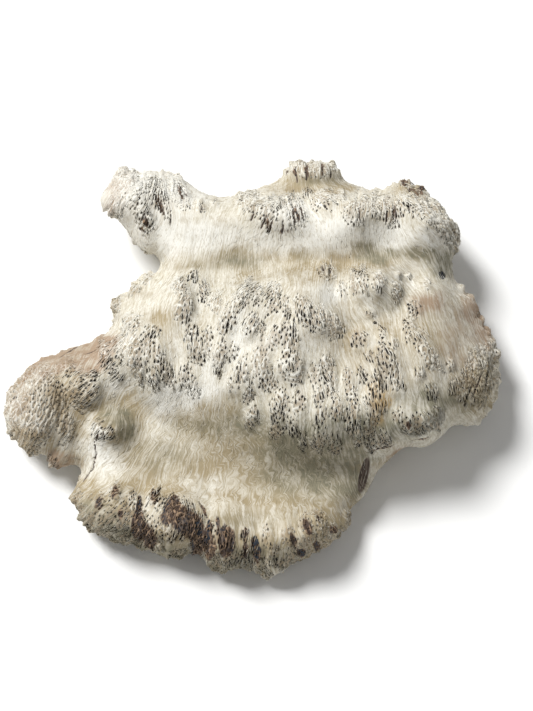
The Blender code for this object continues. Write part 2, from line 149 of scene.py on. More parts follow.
# %% The clusters of eyes
EYE_CLUSTERS = [
    # the corner knob
    (131, 187, 24, 13, 60), (144, 217, 7, 15, -15), (162, 203, 6, 17, -22), (176, 193, 7, 16, -28),
    (182, 191, 4, 12, -25), (201, 208, 3, 6, -15), (215, 204, 2, 3), (118, 205, 8, 12, 30),
    (155, 190, 8, 12),
    # the back ridge and the knobs behind it
    (252, 203, 14, 10, 30), (270, 213, 8, 13, 22), (294, 212, 11, 15, -8), (283, 203, 10, 5),
    (307, 193, 4, 5), (323, 200, 12, 9), (340, 197, 4, 6), (354, 213, 10, 12), (367, 206, 8, 9),
    (380, 206, 9, 10), (391, 213, 9, 14), (405, 204, 9, 11), (418, 206, 9, 10), (431, 214, 9, 12),
    (445, 228, 9, 14, -30), (451, 241, 5, 10), (311, 169, 24, 8), (405, 182, 5, 5), (419, 190, 5, 6),
    # the bumps at the left of the dome
    (148, 279, 7, 5, -50), (134, 290, 6, 6), (115, 303, 6, 8),
    # the dome's brow and its left part
    (179, 286, 7, 8), (193, 277, 4, 6), (204, 292, 5, 12, -10), (184, 308, 8, 14), (216, 304, 7, 10),
    (241, 299, 7, 22, 30), (227, 322, 7, 14, 20), (191, 333, 6, 10), (198, 351, 8, 14),
    (209, 342, 4, 14), (220, 354, 7, 14, 15), (234, 352, 4, 8), (257, 295, 5, 10), (274, 300, 9, 16),
    (251, 326, 7, 10, 20), (262, 330, 3, 10), (287, 308, 4, 12), (305, 313, 8, 18, -25),
    (276, 337, 6, 12, 25), (291, 337, 8, 14), (320, 319, 6, 12), (333, 326, 8, 12, -30),
    (327, 272, 8, 7), (343, 289, 4, 9), (359, 282, 9, 12), (378, 281, 5, 11), (396, 294, 5, 9),
    (398, 275, 2, 2), (408, 276, 2, 2), (426, 285, 3, 5), (414, 309, 5, 8), (370, 314, 4, 4),
    (375, 323, 2, 2), (359, 340, 7, 7), (369, 356, 4, 6), (383, 336, 3, 8), (393, 343, 3, 5),
    (409, 330, 5, 12, -15), (420, 339, 6, 8), (428, 357, 7, 16, -35), (385, 362, 8, 16),
    (391, 373, 7, 9), (450, 365, 3, 5), (419, 374, 4, 6), (348, 377, 4, 6), (483, 377, 9, 24, 10),
    (473, 372, 10, 22, 15), (462, 388, 12, 12), (490, 352, 5, 14), (132, 324, 8, 9), (155, 333, 5, 6),
    (107, 358, 7, 16, -20), (121, 347, 6, 12), (136, 352, 7, 20), (148, 345, 6, 14), (141, 374, 3, 10),
    (158, 358, 5, 12), (154, 379, 5, 10, -20), (168, 376, 6, 14, -25), (186, 376, 6, 10),
    (193, 386, 7, 10, -15), (118, 374, 4, 8, -20),
    # the dome's lower part
    (219, 362, 5, 10), (242, 372, 7, 14, 10), (231, 385, 4, 7), (248, 393, 5, 10, 10),
    (261, 366, 8, 20), (273, 383, 5, 9), (284, 364, 6, 12), (296, 370, 6, 14), (290, 349, 6, 12),
    (280, 404, 8, 16, 15), (252, 416, 5, 11, 20), (276, 431, 6, 7), (294, 427, 6, 10, -15),
    (303, 442, 4, 8), (299, 402, 7, 10), (315, 375, 6, 12), (326, 364, 6, 10), (319, 395, 5, 9),
    (330, 383, 6, 12), (319, 442, 7, 10), (334, 444, 7, 9), (322, 416, 7, 10), (338, 408, 6, 12),
    (351, 396, 5, 12), (347, 377, 4, 9), (363, 375, 5, 8), (353, 419, 7, 14), (359, 437, 6, 8),
    (372, 444, 6, 8), (370, 425, 6, 10), (384, 439, 6, 7), (378, 385, 7, 9), (374, 404, 9, 14),
    (397, 383, 6, 10), (399, 416, 6, 7), (408, 425, 6, 9), (422, 423, 9, 10), (435, 418, 7, 10),
    (430, 391, 6, 7), (418, 374, 4, 5),
    # the side lobe with its stub, and the lone bump
    (18, 383, 12, 12, 45), (30, 383, 12, 14), (43, 380, 9, 13), (55, 389, 7, 18, -10), (66, 369, 9, 9),
    (18, 407, 12, 16), (36, 408, 12, 18), (52, 413, 8, 14), (22, 429, 13, 14), (38, 430, 10, 13),
    (30, 444, 10, 8), (65, 425, 9, 15), (76, 389, 6, 14, 10), (88, 394, 7, 18, 20), (62, 397, 6, 12),
    (53, 462, 5, 5), (99, 429, 6, 9), (108, 434, 6, 5),
    # the front ridge
    (80, 498, 4, 8), (91, 497, 4, 4), (100, 501, 5, 9), (115, 494, 5, 8), (131, 497, 4, 5),
    (155, 500, 6, 10), (96, 521, 9, 13, -10), (111, 517, 6, 11), (124, 514, 5, 12),
    (139, 521, 9, 22, -20), (150, 533, 8, 13), (174, 519, 15, 20), (197, 541, 8, 16),
    (195, 523, 8, 12), (211, 541, 6, 16), (225, 541, 8, 16), (245, 533, 3, 5), (245, 548, 3, 9),
    (256, 549, 4, 10, -10), (267, 537, 5, 10), (274, 549, 5, 6), (287, 536, 5, 6),
    (292, 540, 4, 12, -15), (306, 525, 5, 9, -20), (317, 517, 5, 7, -25), (306, 514, 2, 2),
    (301, 551, 4, 4), (309, 540, 5, 8), (331, 529, 5, 5), (342, 528, 4, 4), (316, 549, 5, 6),
    (281, 565, 8, 6), (267, 573, 6, 4), (160, 546, 4, 5), (78, 512, 5, 12), (88, 532, 8, 8),
    (104, 541, 9, 6), (124, 546, 9, 6), (180, 553, 12, 6), (206, 560, 10, 6), (226, 563, 12, 6),
    (246, 567, 10, 5), (294, 560, 8, 8), (313, 555, 7, 6), (328, 543, 8, 8), (341, 534, 6, 6),
    (348, 521, 4, 7), (85, 518, 7, 12), (102, 532, 9, 9), (120, 531, 8, 11), (133, 541, 8, 8),
    (240, 556, 10, 8), (258, 562, 12, 6), (300, 545, 7, 9), (322, 530, 5, 9), (213, 552, 10, 7),
]  # fmt: skip
CLUSTER_GROWTH = 1.12
CLUSTER_MERGE = 3.4  # the lower, the further two clusters reach out to each other
OVAL_BEND = 2.6  # sheet units that noise moves an oval's edge by
OVAL_BEND_SIZE = 8.0
FRAY = 0.34
FRAY_SIZE = (0.0026, 0.0100, 0.02)
SIDE_CLUSTER_SIZE = 0.020
SIDE_CLUSTER_LEVEL = 0.13  # the noise above this level is a cluster on the hidden sides
SIDE_CLUSTER_EDGE = 4.0
SIDE_SAW_MARGIN = 0.006
OUTSIDE = 9.0  # a share that is far outside every cluster


def smooth_step(low, high, values):
    share = np.clip((values - low) / (high - low), 0, 1)
    return share * share * (3 - 2 * share)


def noise_at(points, size, shift=0.0):
    """Smooth noise between about -1 and 1. size is the width of a lump, or one width for each axis."""
    scaled = np.asarray(points) / np.asarray(size) + shift
    return np.array([noise.noise(spot) for spot in scaled.tolist()])


def sheet_noise(sheet, size, shift=0.0):
    flat = np.column_stack([sheet, np.zeros(len(sheet))])
    return noise_at(flat, size, shift)


def turned(sheet, x, y, lean=0.0):
    """How far sheet places lie across and along an oval's axis from its middle."""
    angle = math.radians(lean)
    dx = sheet[:, 0] - x
    dy = sheet[:, 1] - y
    return dx * math.cos(angle) + dy * math.sin(angle), dy * math.cos(angle) - dx * math.sin(angle)


def oval_share(sheet, ovals, growth=1.0):
    """0 in the middle of an oval, 1 on its edge, with neighbours grown together."""
    nearness = np.full(len(sheet), 1e-12)
    for x, y, half_width, half_length, *lean in ovals:
        across, along = turned(sheet, x, y, *lean)
        away = (across / half_width) ** 2 + (along / half_length) ** 2
        nearness += np.exp(-CLUSTER_MERGE * away / growth**2)
    return np.sqrt(np.maximum(-np.log(nearness) / CLUSTER_MERGE, 0))


def bent(sheet):
    """Sheet places moved a little by noise, so that an oval on them has a bent edge."""
    bend_x = sheet_noise(sheet, OVAL_BEND_SIZE, 3.1)
    bend_y = sheet_noise(sheet, OVAL_BEND_SIZE, 71.7)
    return sheet + OVAL_BEND * np.column_stack([bend_x, 1.6 * bend_y])


# %% [markdown]
# ## The way the fibres run
# Fibres and eyes run down the face, as if combed, and fan out to both sides. One rule gives that
# direction everywhere: down the sheet, leaning outwards from a middle line and from the middle of
# each lobe, wavering a little. On the steep sides it turns to straight down. A second rule unrolls the
# fibres to straight lines, for noise to be stretched along them, and crinkles them in the hollow.

# %% The direction of the fibres
FAN_MIDDLE = 285.0
FAN_REACH = 430.0
WAVER = 0.35
WAVER_SIZE = 0.030
LOBE_FANS = [  # middle x and y, reach, and how strongly the fibres part there
    (150, 190, 26, 0.7), (284, 205, 30, 1.0), (322, 198, 16, 0.6), (362, 205, 20, 0.8),
    (412, 205, 30, 0.9), (310, 165, 26, 0.6), (188, 290, 30, 0.5), (290, 300, 40, 0.5),
    (365, 275, 30, 0.6), (60, 380, 50, -0.40), (125, 335, 34, 0.6), (110, 418, 18, 0.9),
    (200, 505, 60, 0.5), (120, 500, 36, 0.5), (310, 515, 40, 0.5),
]
CRINKLES = [
    (238, 440, 52, 34), (180, 425, 40, 18, -20), (290, 470, 50, 24, 10), (120, 480, 20, 20),
    (210, 492, 70, 16), (300, 500, 40, 16),
]  # fmt: skip
CRINKLE_LENGTH = 9.0
CRINKLE_REACH = 2.6
CRINKLE_SLANT = 60.0
# reach, size and shift of the noise in each of these
CRINKLE_DRIFT = (2.0, 24.0, 91.0)
CRINKLE_TREMOR = (0.5, 9.0, 33.0)
CRINKLE_SWING = (0.6, 18.0, 57.0)
GRAIN_WAVER = (6.0, 40.0, 19.0)
GRAIN_RIPPLE = (2.6, 14.0, 27.0)


def waver(sheet, reach, size, shift):
    return reach * sheet_noise(sheet, size, shift)


def lobe_lean(sheet, x, y, reach, strength):
    """How far the fibres lean outwards round the middle of one lobe."""
    aside = (sheet[:, 0] - x) / reach
    below = (sheet[:, 1] - y) / reach
    return strength * aside * np.exp(-0.5 * (aside**2 + 0.5 * below**2))


def fibre_direction(points, normals):
    sheet = on_sheet(points)
    lean = (sheet[:, 0] - FAN_MIDDLE) / FAN_REACH + WAVER * noise_at(points, WAVER_SIZE, 23.0)
    for lobe in LOBE_FANS:
        lean += lobe_lean(sheet, *lobe)
    facing = smooth_step(-0.1, 0.45, normals @ TO_EYE)[:, None]
    run = lean[:, None] * TO_RIGHT - UP_SHEET
    run = run * facing + np.array([0, 0, -1.0]) * (1 - facing)
    run -= (run * normals).sum(axis=1)[:, None] * normals
    return run / np.maximum(np.linalg.norm(run, axis=1), 1e-6)[:, None]


def grain_coordinates(points):
    """x stays the same along a fibre of the face, y runs along it, z is the depth. All in metres."""
    sheet = on_sheet(points)
    fan = (sheet[:, 0] - FAN_MIDDLE) * np.exp(-(sheet[:, 1] - SHEET_MIDDLE[1]) / FAN_REACH)
    fan += waver(sheet, *GRAIN_WAVER) + waver(sheet, *GRAIN_RIPPLE)
    for lobe in LOBE_FANS:
        fan -= lobe_lean(sheet, *lobe) * (sheet[:, 1] - lobe[1])
    where = smooth_step(1.3, 0.6, oval_share(sheet, CRINKLES))
    turns = sheet[:, 1] / CRINKLE_LENGTH + waver(sheet, *CRINKLE_DRIFT) + sheet[:, 0] / CRINKLE_SLANT
    turns += waver(sheet, *CRINKLE_TREMOR)
    swing = 1.0 + waver(sheet, *CRINKLE_SWING)
    fan += CRINKLE_REACH * where * swing * np.sin(2 * math.pi * turns)
    return np.column_stack([fan * UNIT, sheet[:, 1] * UNIT, points @ TO_EYE])


def eye_share(points, normals):
    """Under 1 in a cluster of eyes, over 1 outside."""
    facing = normals @ TO_EYE
    share = oval_share(bent(on_sheet(points)), EYE_CLUSTERS, CLUSTER_GROWTH)
    share += FRAY * noise_at(grain_coordinates(points), FRAY_SIZE, 13.0)
    share = np.where(facing > -0.2, share, OUTSIDE)
    sides = noise_at(points, (SIDE_CLUSTER_SIZE, SIDE_CLUSTER_SIZE, 1.5 * SIDE_CLUSTER_SIZE), 11.0)
    side_share = 1 + SIDE_CLUSTER_EDGE * (SIDE_CLUSTER_LEVEL - sides)
    side_share += OUTSIDE * smooth_step(0.0, 0.35, facing)
    side_share += 3 * smooth_step(2 * SIDE_SAW_MARGIN, SIDE_SAW_MARGIN, points[:, 2])
    return np.minimum(share, np.maximum(side_share, 0))


share = eye_share(read_points(wood.data), read_normals(wood.data))
print("part of the skin with eyes:", round(float((share < 1).mean()), 3))

# %% [markdown]
# ## More faces where the eyes are
# Eyes, slits and scars need faces under a millimetre, and smooth wood doesn't. So only the faces in
# and round them and along the rim are subdivided. An eye is long and narrow, so the second cut halves
# only the edges that lie across the fibres, and only on the side that the lens sees. That keeps the
# wood light, where subdividing all of it would make four times the faces.

# %% Subdivide the clusters
CLUSTER_MARGIN = 1.06
ACROSS_ENOUGH = 0.7  # the cosine of the widest turn between an edge and the way across the fibres
SCARS = [  # still full of blue-black bark
    (443, 275, 3, 4, -40), (16, 398, 4, 0.8), (256, 546, 3.5, 10, -8), (301, 551, 3, 3),
    (198, 528, 3.5, 8, -15), (209, 534, 2.2, 14), (192, 545, 1.8, 8), (167, 505, 2.0, 7, 25),
    (139, 505, 1.4, 7),
]  # fmt: skip
SLITS = [  # brown inside, with one long crack and one leaf-shaped scar among them
    (364.5, 476, 4.5, 17, 12), (476, 385, 0.8, 12, 20), (485, 375, 0.8, 14, 10),
    (468, 392, 0.7, 8, 30), (95, 449, 0.8, 8, -8), (94, 462, 0.8, 8, 12), (88, 474, 0.8, 9, 38),
    (72, 350, 8, 0.7, -30), (64, 355, 5, 0.6, -35), (91, 352, 6, 0.6, -15), (203, 509, 1.0, 9, -30),
    (175, 503, 1.4, 7, 10), (408, 190, 1.0, 6, -20), (417, 194, 1.0, 6), (307, 173, 1.0, 8),
    (297, 178, 0.9, 5), (322, 171, 0.8, 5), (288, 172, 0.8, 4, 20), (330, 175, 0.8, 4),
    (161, 207, 1.3, 10, -25), (147, 221, 1.2, 8, -20), (182, 192, 1.1, 9, -35),
    (155, 196, 1.0, 8, -10), (143, 230, 4, 1.2, 25), (264, 222, 1.0, 8, 25), (271, 226, 1.0, 8, 15),
    (293, 216, 1.0, 9, -8), (301, 214, 1.0, 8, -15), (283, 226, 1.0, 6), (393, 214, 1.0, 7),
    (401, 212, 0.9, 6, -10), (359, 216, 0.9, 5), (330, 272, 1.3, 4, 20), (323, 272, 1.2, 4, -20),
    (201, 209, 1.2, 5, -15), (386, 218, 0.9, 5), (409, 209, 0.9, 5, -10), (253, 216, 0.9, 6, 25),
    (98, 436, 1.2, 6, 20), (104, 437, 1.0, 6), (112, 430, 1.0, 4, -30), (151, 540, 1.2, 8, -20),
    (172, 520, 1.0, 9, -15), (183, 525, 1.0, 9, -20), (222, 540, 1.0, 8), (230, 545, 1.0, 7, 10),
    (245, 546, 1.4, 6), (293, 541, 1.2, 7, -15), (307, 529, 1.2, 6, -20), (317, 519, 1.0, 5, -25),
]  # fmt: skip
SCAR_DEPTH = 0.0011


def select_for_cut(piece, chosen, across=None):
    """Selects the edges of faces with a chosen corner. Where across is given, only edges that follow it."""
    mesh = piece.data
    spots = read_points(mesh)
    edges = np.zeros(len(mesh.edges), bool)
    for face in mesh.polygons:
        if any(chosen[i] for i in face.vertices):
            for loop in face.loop_indices:
                edges[mesh.loops[loop].edge_index] = True
    if across is not None:
        ends = np.array([tuple(edge.vertices) for edge in mesh.edges])
        lie = spots[ends[:, 1]] - spots[ends[:, 0]]
        lie /= np.maximum(np.linalg.norm(lie, axis=1), 1e-9)[:, None]
        edges &= np.abs((lie * across[ends[:, 0]]).sum(axis=1)) > ACROSS_ENOUGH
    mesh.polygons.foreach_set("select", np.zeros(len(mesh.polygons), bool))
    mesh.vertices.foreach_set("select", np.zeros(len(mesh.vertices), bool))
    mesh.edges.foreach_set("select", edges)


def halve_selected(piece):
    work_on(piece)
    bpy.ops.object.mode_set(mode="EDIT")
    bpy.ops.mesh.select_mode(type="EDGE")
    bpy.ops.mesh.subdivide(number_cuts=1)
    bpy.ops.mesh.vertices_smooth(factor=0.5, repeat=1)
    bpy.ops.object.mode_set(mode="OBJECT")


def at_rim(facing, hidden, edge, open_to_eye):
    """1 on the rim of the grown face, where it turns away from the eye, and 0 elsewhere."""
    return smooth_step(hidden, edge, facing) * smooth_step(open_to_eye, 0.25, facing)


rim = at_rim(read_normals(wood.data) @ TO_EYE, -0.25, -0.05, 0.42)
scarred = oval_share(on_sheet(read_points(wood.data)), SCARS + SLITS, 2.5) < 1.5
select_for_cut(wood, (share < CLUSTER_MARGIN) | (rim > 0.3) | scarred)
halve_selected(wood)
points = read_points(wood.data)
normals = read_normals(wood.data)
share = eye_share(points, normals)
across = np.cross(normals, fibre_direction(points, normals))
scarred = oval_share(on_sheet(points), SCARS + SLITS, 1.8) < 1.3
select_for_cut(wood, ((share < CLUSTER_MARGIN) | scarred) & (normals @ TO_EYE > -0.15), across)
halve_selected(wood)
points = read_points(wood.data)
normals = read_normals(wood.data)
share = eye_share(points, normals)
print("finer skin:", len(points), "points")
sheet = on_sheet(points)
facing = normals @ TO_EYE
grain = grain_coordinates(points)
run = fibre_direction(points, normals)
cross = np.cross(normals, run)

# %% [markdown]
# ## The relief
# The clusters swell a little, the wood between them has low lumps and bands, and in the clusters it is
# combed into sharp ridges with troughs between them. The rim is jagged, with ribs that run down over
# it, and scallops at the right end. Each form is a height along the skin's normal, so they simply add
# up. Displace modifiers could add them one by one, but a few lines of arithmetic can also fade each
# one by where the eyes are and how the skin is turned.

# %% Lumps, ridges and troughs
CLUSTER_RISE = 0.0022
LUMP_SIZE = 0.009
LUMP_HEIGHT = 0.0007
COMB_SIZE = (0.0024, 0.0120, 0.02)
COMB_HEIGHT = 0.0012
BAND_SIZE = (0.0120, 0.050, 0.03)
BAND_HEIGHT = 0.0007
RAG_SIZE = 0.0055
RAG_HEIGHT = 0.0019
RIB_SIZE = (0.0040, 0.060, 0.05)
BROAD_RIB_SIZE = (0.0100, 0.060, 0.05)
RIB_HEIGHT = 0.0050
FRONT_TOP = 498.0  # where the front ridge begins on the sheet
FRONT_FADE = 22.0
FRONT_RIBS = 0.6
SCALLOPS_LEFT = 452.0
SCALLOPS_FADE = 14.0
SCALLOP_SIZE = 0.0085
SCALLOP_HEIGHT = 0.0040

in_cluster = smooth_step(1.15, 0.6, share)
bulge = smooth_step(1.6, 0.2, oval_share(sheet, EYE_CLUSTERS, 1.35))
bulge *= smooth_step(-0.1, 0.3, facing)
lumps = noise_at(points, LUMP_SIZE, 31.0)
combed = noise_at(grain, COMB_SIZE, 47.0)
bands = noise_at(grain, BAND_SIZE, 5.0)
# the low troughs of the combed relief, where the finish paints brown shade
trough_shade = smooth_step(0.05, -0.35, combed)
rim = at_rim(facing, -0.3, 0.0, 0.5)
near_eyes = smooth_step(1.9, 1.0, share)
rags = np.abs(noise_at(points, RAG_SIZE, 3.0)) * 2 - 0.5
relief = CLUSTER_RISE * bulge + LUMP_HEIGHT * lumps * (0.5 + 0.5 * in_cluster)
relief += BAND_HEIGHT * bands + COMB_HEIGHT * combed * in_cluster
ribs = 0.7 * noise_at(grain, RIB_SIZE, 9.0) + 0.6 * noise_at(grain, BROAD_RIB_SIZE, 17.0)
front = FRONT_RIBS * smooth_step(FRONT_TOP, FRONT_TOP + FRONT_FADE, sheet[:, 1])
ribbed = np.maximum(rim, front * smooth_step(0.0, 0.3, facing)) * near_eyes
relief += RAG_HEIGHT * rags * rim * near_eyes + RIB_HEIGHT * ribs * ribbed
trough_shade = np.maximum(trough_shade, smooth_step(0.0, -0.35, ribs) * front)
edge = rim * smooth_step(SCALLOPS_LEFT, SCALLOPS_LEFT + SCALLOPS_FADE, sheet[:, 0])
relief += SCALLOP_HEIGHT * (2 * np.abs(noise_at(points, SCALLOP_SIZE, 41.0)) - 0.4) * edge
on_face = smooth_step(-0.1, 0.1, facing)
scar = smooth_step(1.25, 0.75, oval_share(sheet, SCARS)) * on_face
slit = smooth_step(1.35, 0.75, oval_share(sheet, SLITS)) * on_face
relief -= SCAR_DEPTH * np.maximum(scar, slit)
print("relief:", round(1000 * float(relief.min()), 1), "to", round(1000 * float(relief.max()), 1), "mm")

# %% [markdown]
# ## The eyes themselves
# Each eye is a narrow pit along the fibres, a few millimetres from the next. A regular pattern would
# look printed, so points are drawn in a random order, most of those in the troughs first, and one is
# kept only if no kept one is too near. Along the fibres a distance counts for about half, so the eyes
# stand further apart end to end than side by side, and have room for their length.

# %% Place the eyes
EYE_SPACING = 0.0020
ALONG_FIBRE_SHARE = 0.55
EYE_DEPTH = 0.0026
EYE_HALF_LENGTH = 0.0017
EYE_HALF_WIDTH = 0.00078
SLIT_CHANCE = 0.12
SLIT_STRETCH = 2.0
TROUGH_FIRST = 0.7
COARSE_SIZE = 0.016
COARSE_SHARE = 0.6  # how much coarser or finer the eyes are from place to place
FINE_EYES = [
    (125, 190, 26, 30), (38, 405, 50, 62), (310, 170, 34, 12), (95, 520, 34, 30), (262, 350, 20, 24),
    (310, 535, 50, 30),
]  # fmt: skip
FINE_SHARE = 0.36
SPARSE_SIZE = 0.006
SPARSE_SHARE = 0.2
EYE_SAW_MARGIN = 0.002
PIT_REACH = 1.2  # a pit fades out at so many times its half length and half width
draw = np.random.default_rng(12)


def keep_apart(places, order, spacing):
    """Indices of places, taken in this order, that lie at least one spacing apart."""
    cells = {}
    kept = []
    for index in order:
        spot = places[index]
        cell = tuple(np.floor(spot / spacing).astype(int).tolist())
        near = (
            other
            for i in (-1, 0, 1) for j in (-1, 0, 1) for k in (-1, 0, 1)
            for other in cells.get((cell[0] + i, cell[1] + j, cell[2] + k), ())
        )  # fmt: skip
        if all(((places[other] - spot) ** 2).sum() > spacing**2 for other in near):
            cells.setdefault(cell, []).append(index)
            kept.append(index)
    return kept


squeezed = np.column_stack([points[:, 0], ALONG_FIBRE_SHARE * (points @ UP_SHEET), points @ TO_EYE])
sparse = SPARSE_SHARE * noise_at(points, SPARSE_SIZE, 61.0)
candidates = np.flatnonzero((share + sparse < 1.0) & (points[:, 2] > EYE_SAW_MARGIN))
turn = draw.random(len(candidates)) + TROUGH_FIRST * combed[candidates]
eyes = keep_apart(squeezed, candidates[np.argsort(turn)].tolist(), EYE_SPACING)
print("eyes:", len(eyes))

# %% Sink the eyes
finder = kdtree.KDTree(len(points))
for index, spot in enumerate(points.tolist()):
    finder.insert(spot, index)
finder.balance()
fine = smooth_step(1.2, 0.7, oval_share(sheet, FINE_EYES))
coarse = (1 + COARSE_SHARE * noise_at(points, COARSE_SIZE, 77.0)) * (1 - FINE_SHARE * fine)
pit = np.zeros(len(points))
half_lengths = []
half_widths = []
for eye in eyes:
    stretch = SLIT_STRETCH if draw.random() < SLIT_CHANCE else 1.0
    length = EYE_HALF_LENGTH * stretch * draw.uniform(0.5, 1.4) * coarse[eye]
    width = EYE_HALF_WIDTH * draw.uniform(0.75, 1.3) * coarse[eye]
    depth = draw.uniform(0.45, 1.0)
    half_lengths.append(length)
    half_widths.append(width)
    found = finder.find_range(points[eye], PIT_REACH * length + width)
    near = np.array([index for _, index, _ in found])
    away = points[near] - points[eye]
    along = away @ run[eye] / length
    aside = away @ cross[eye] / width
    reach = np.sqrt(along**2 + aside**2)
    pit[near] = np.maximum(pit[near], depth * np.clip(PIT_REACH - reach, 0, 1))
top = points + relief[:, None] * normals
wood.data.vertices.foreach_set("co", (top - EYE_DEPTH * pit[:, None] * normals).ravel())
wood.data.update()
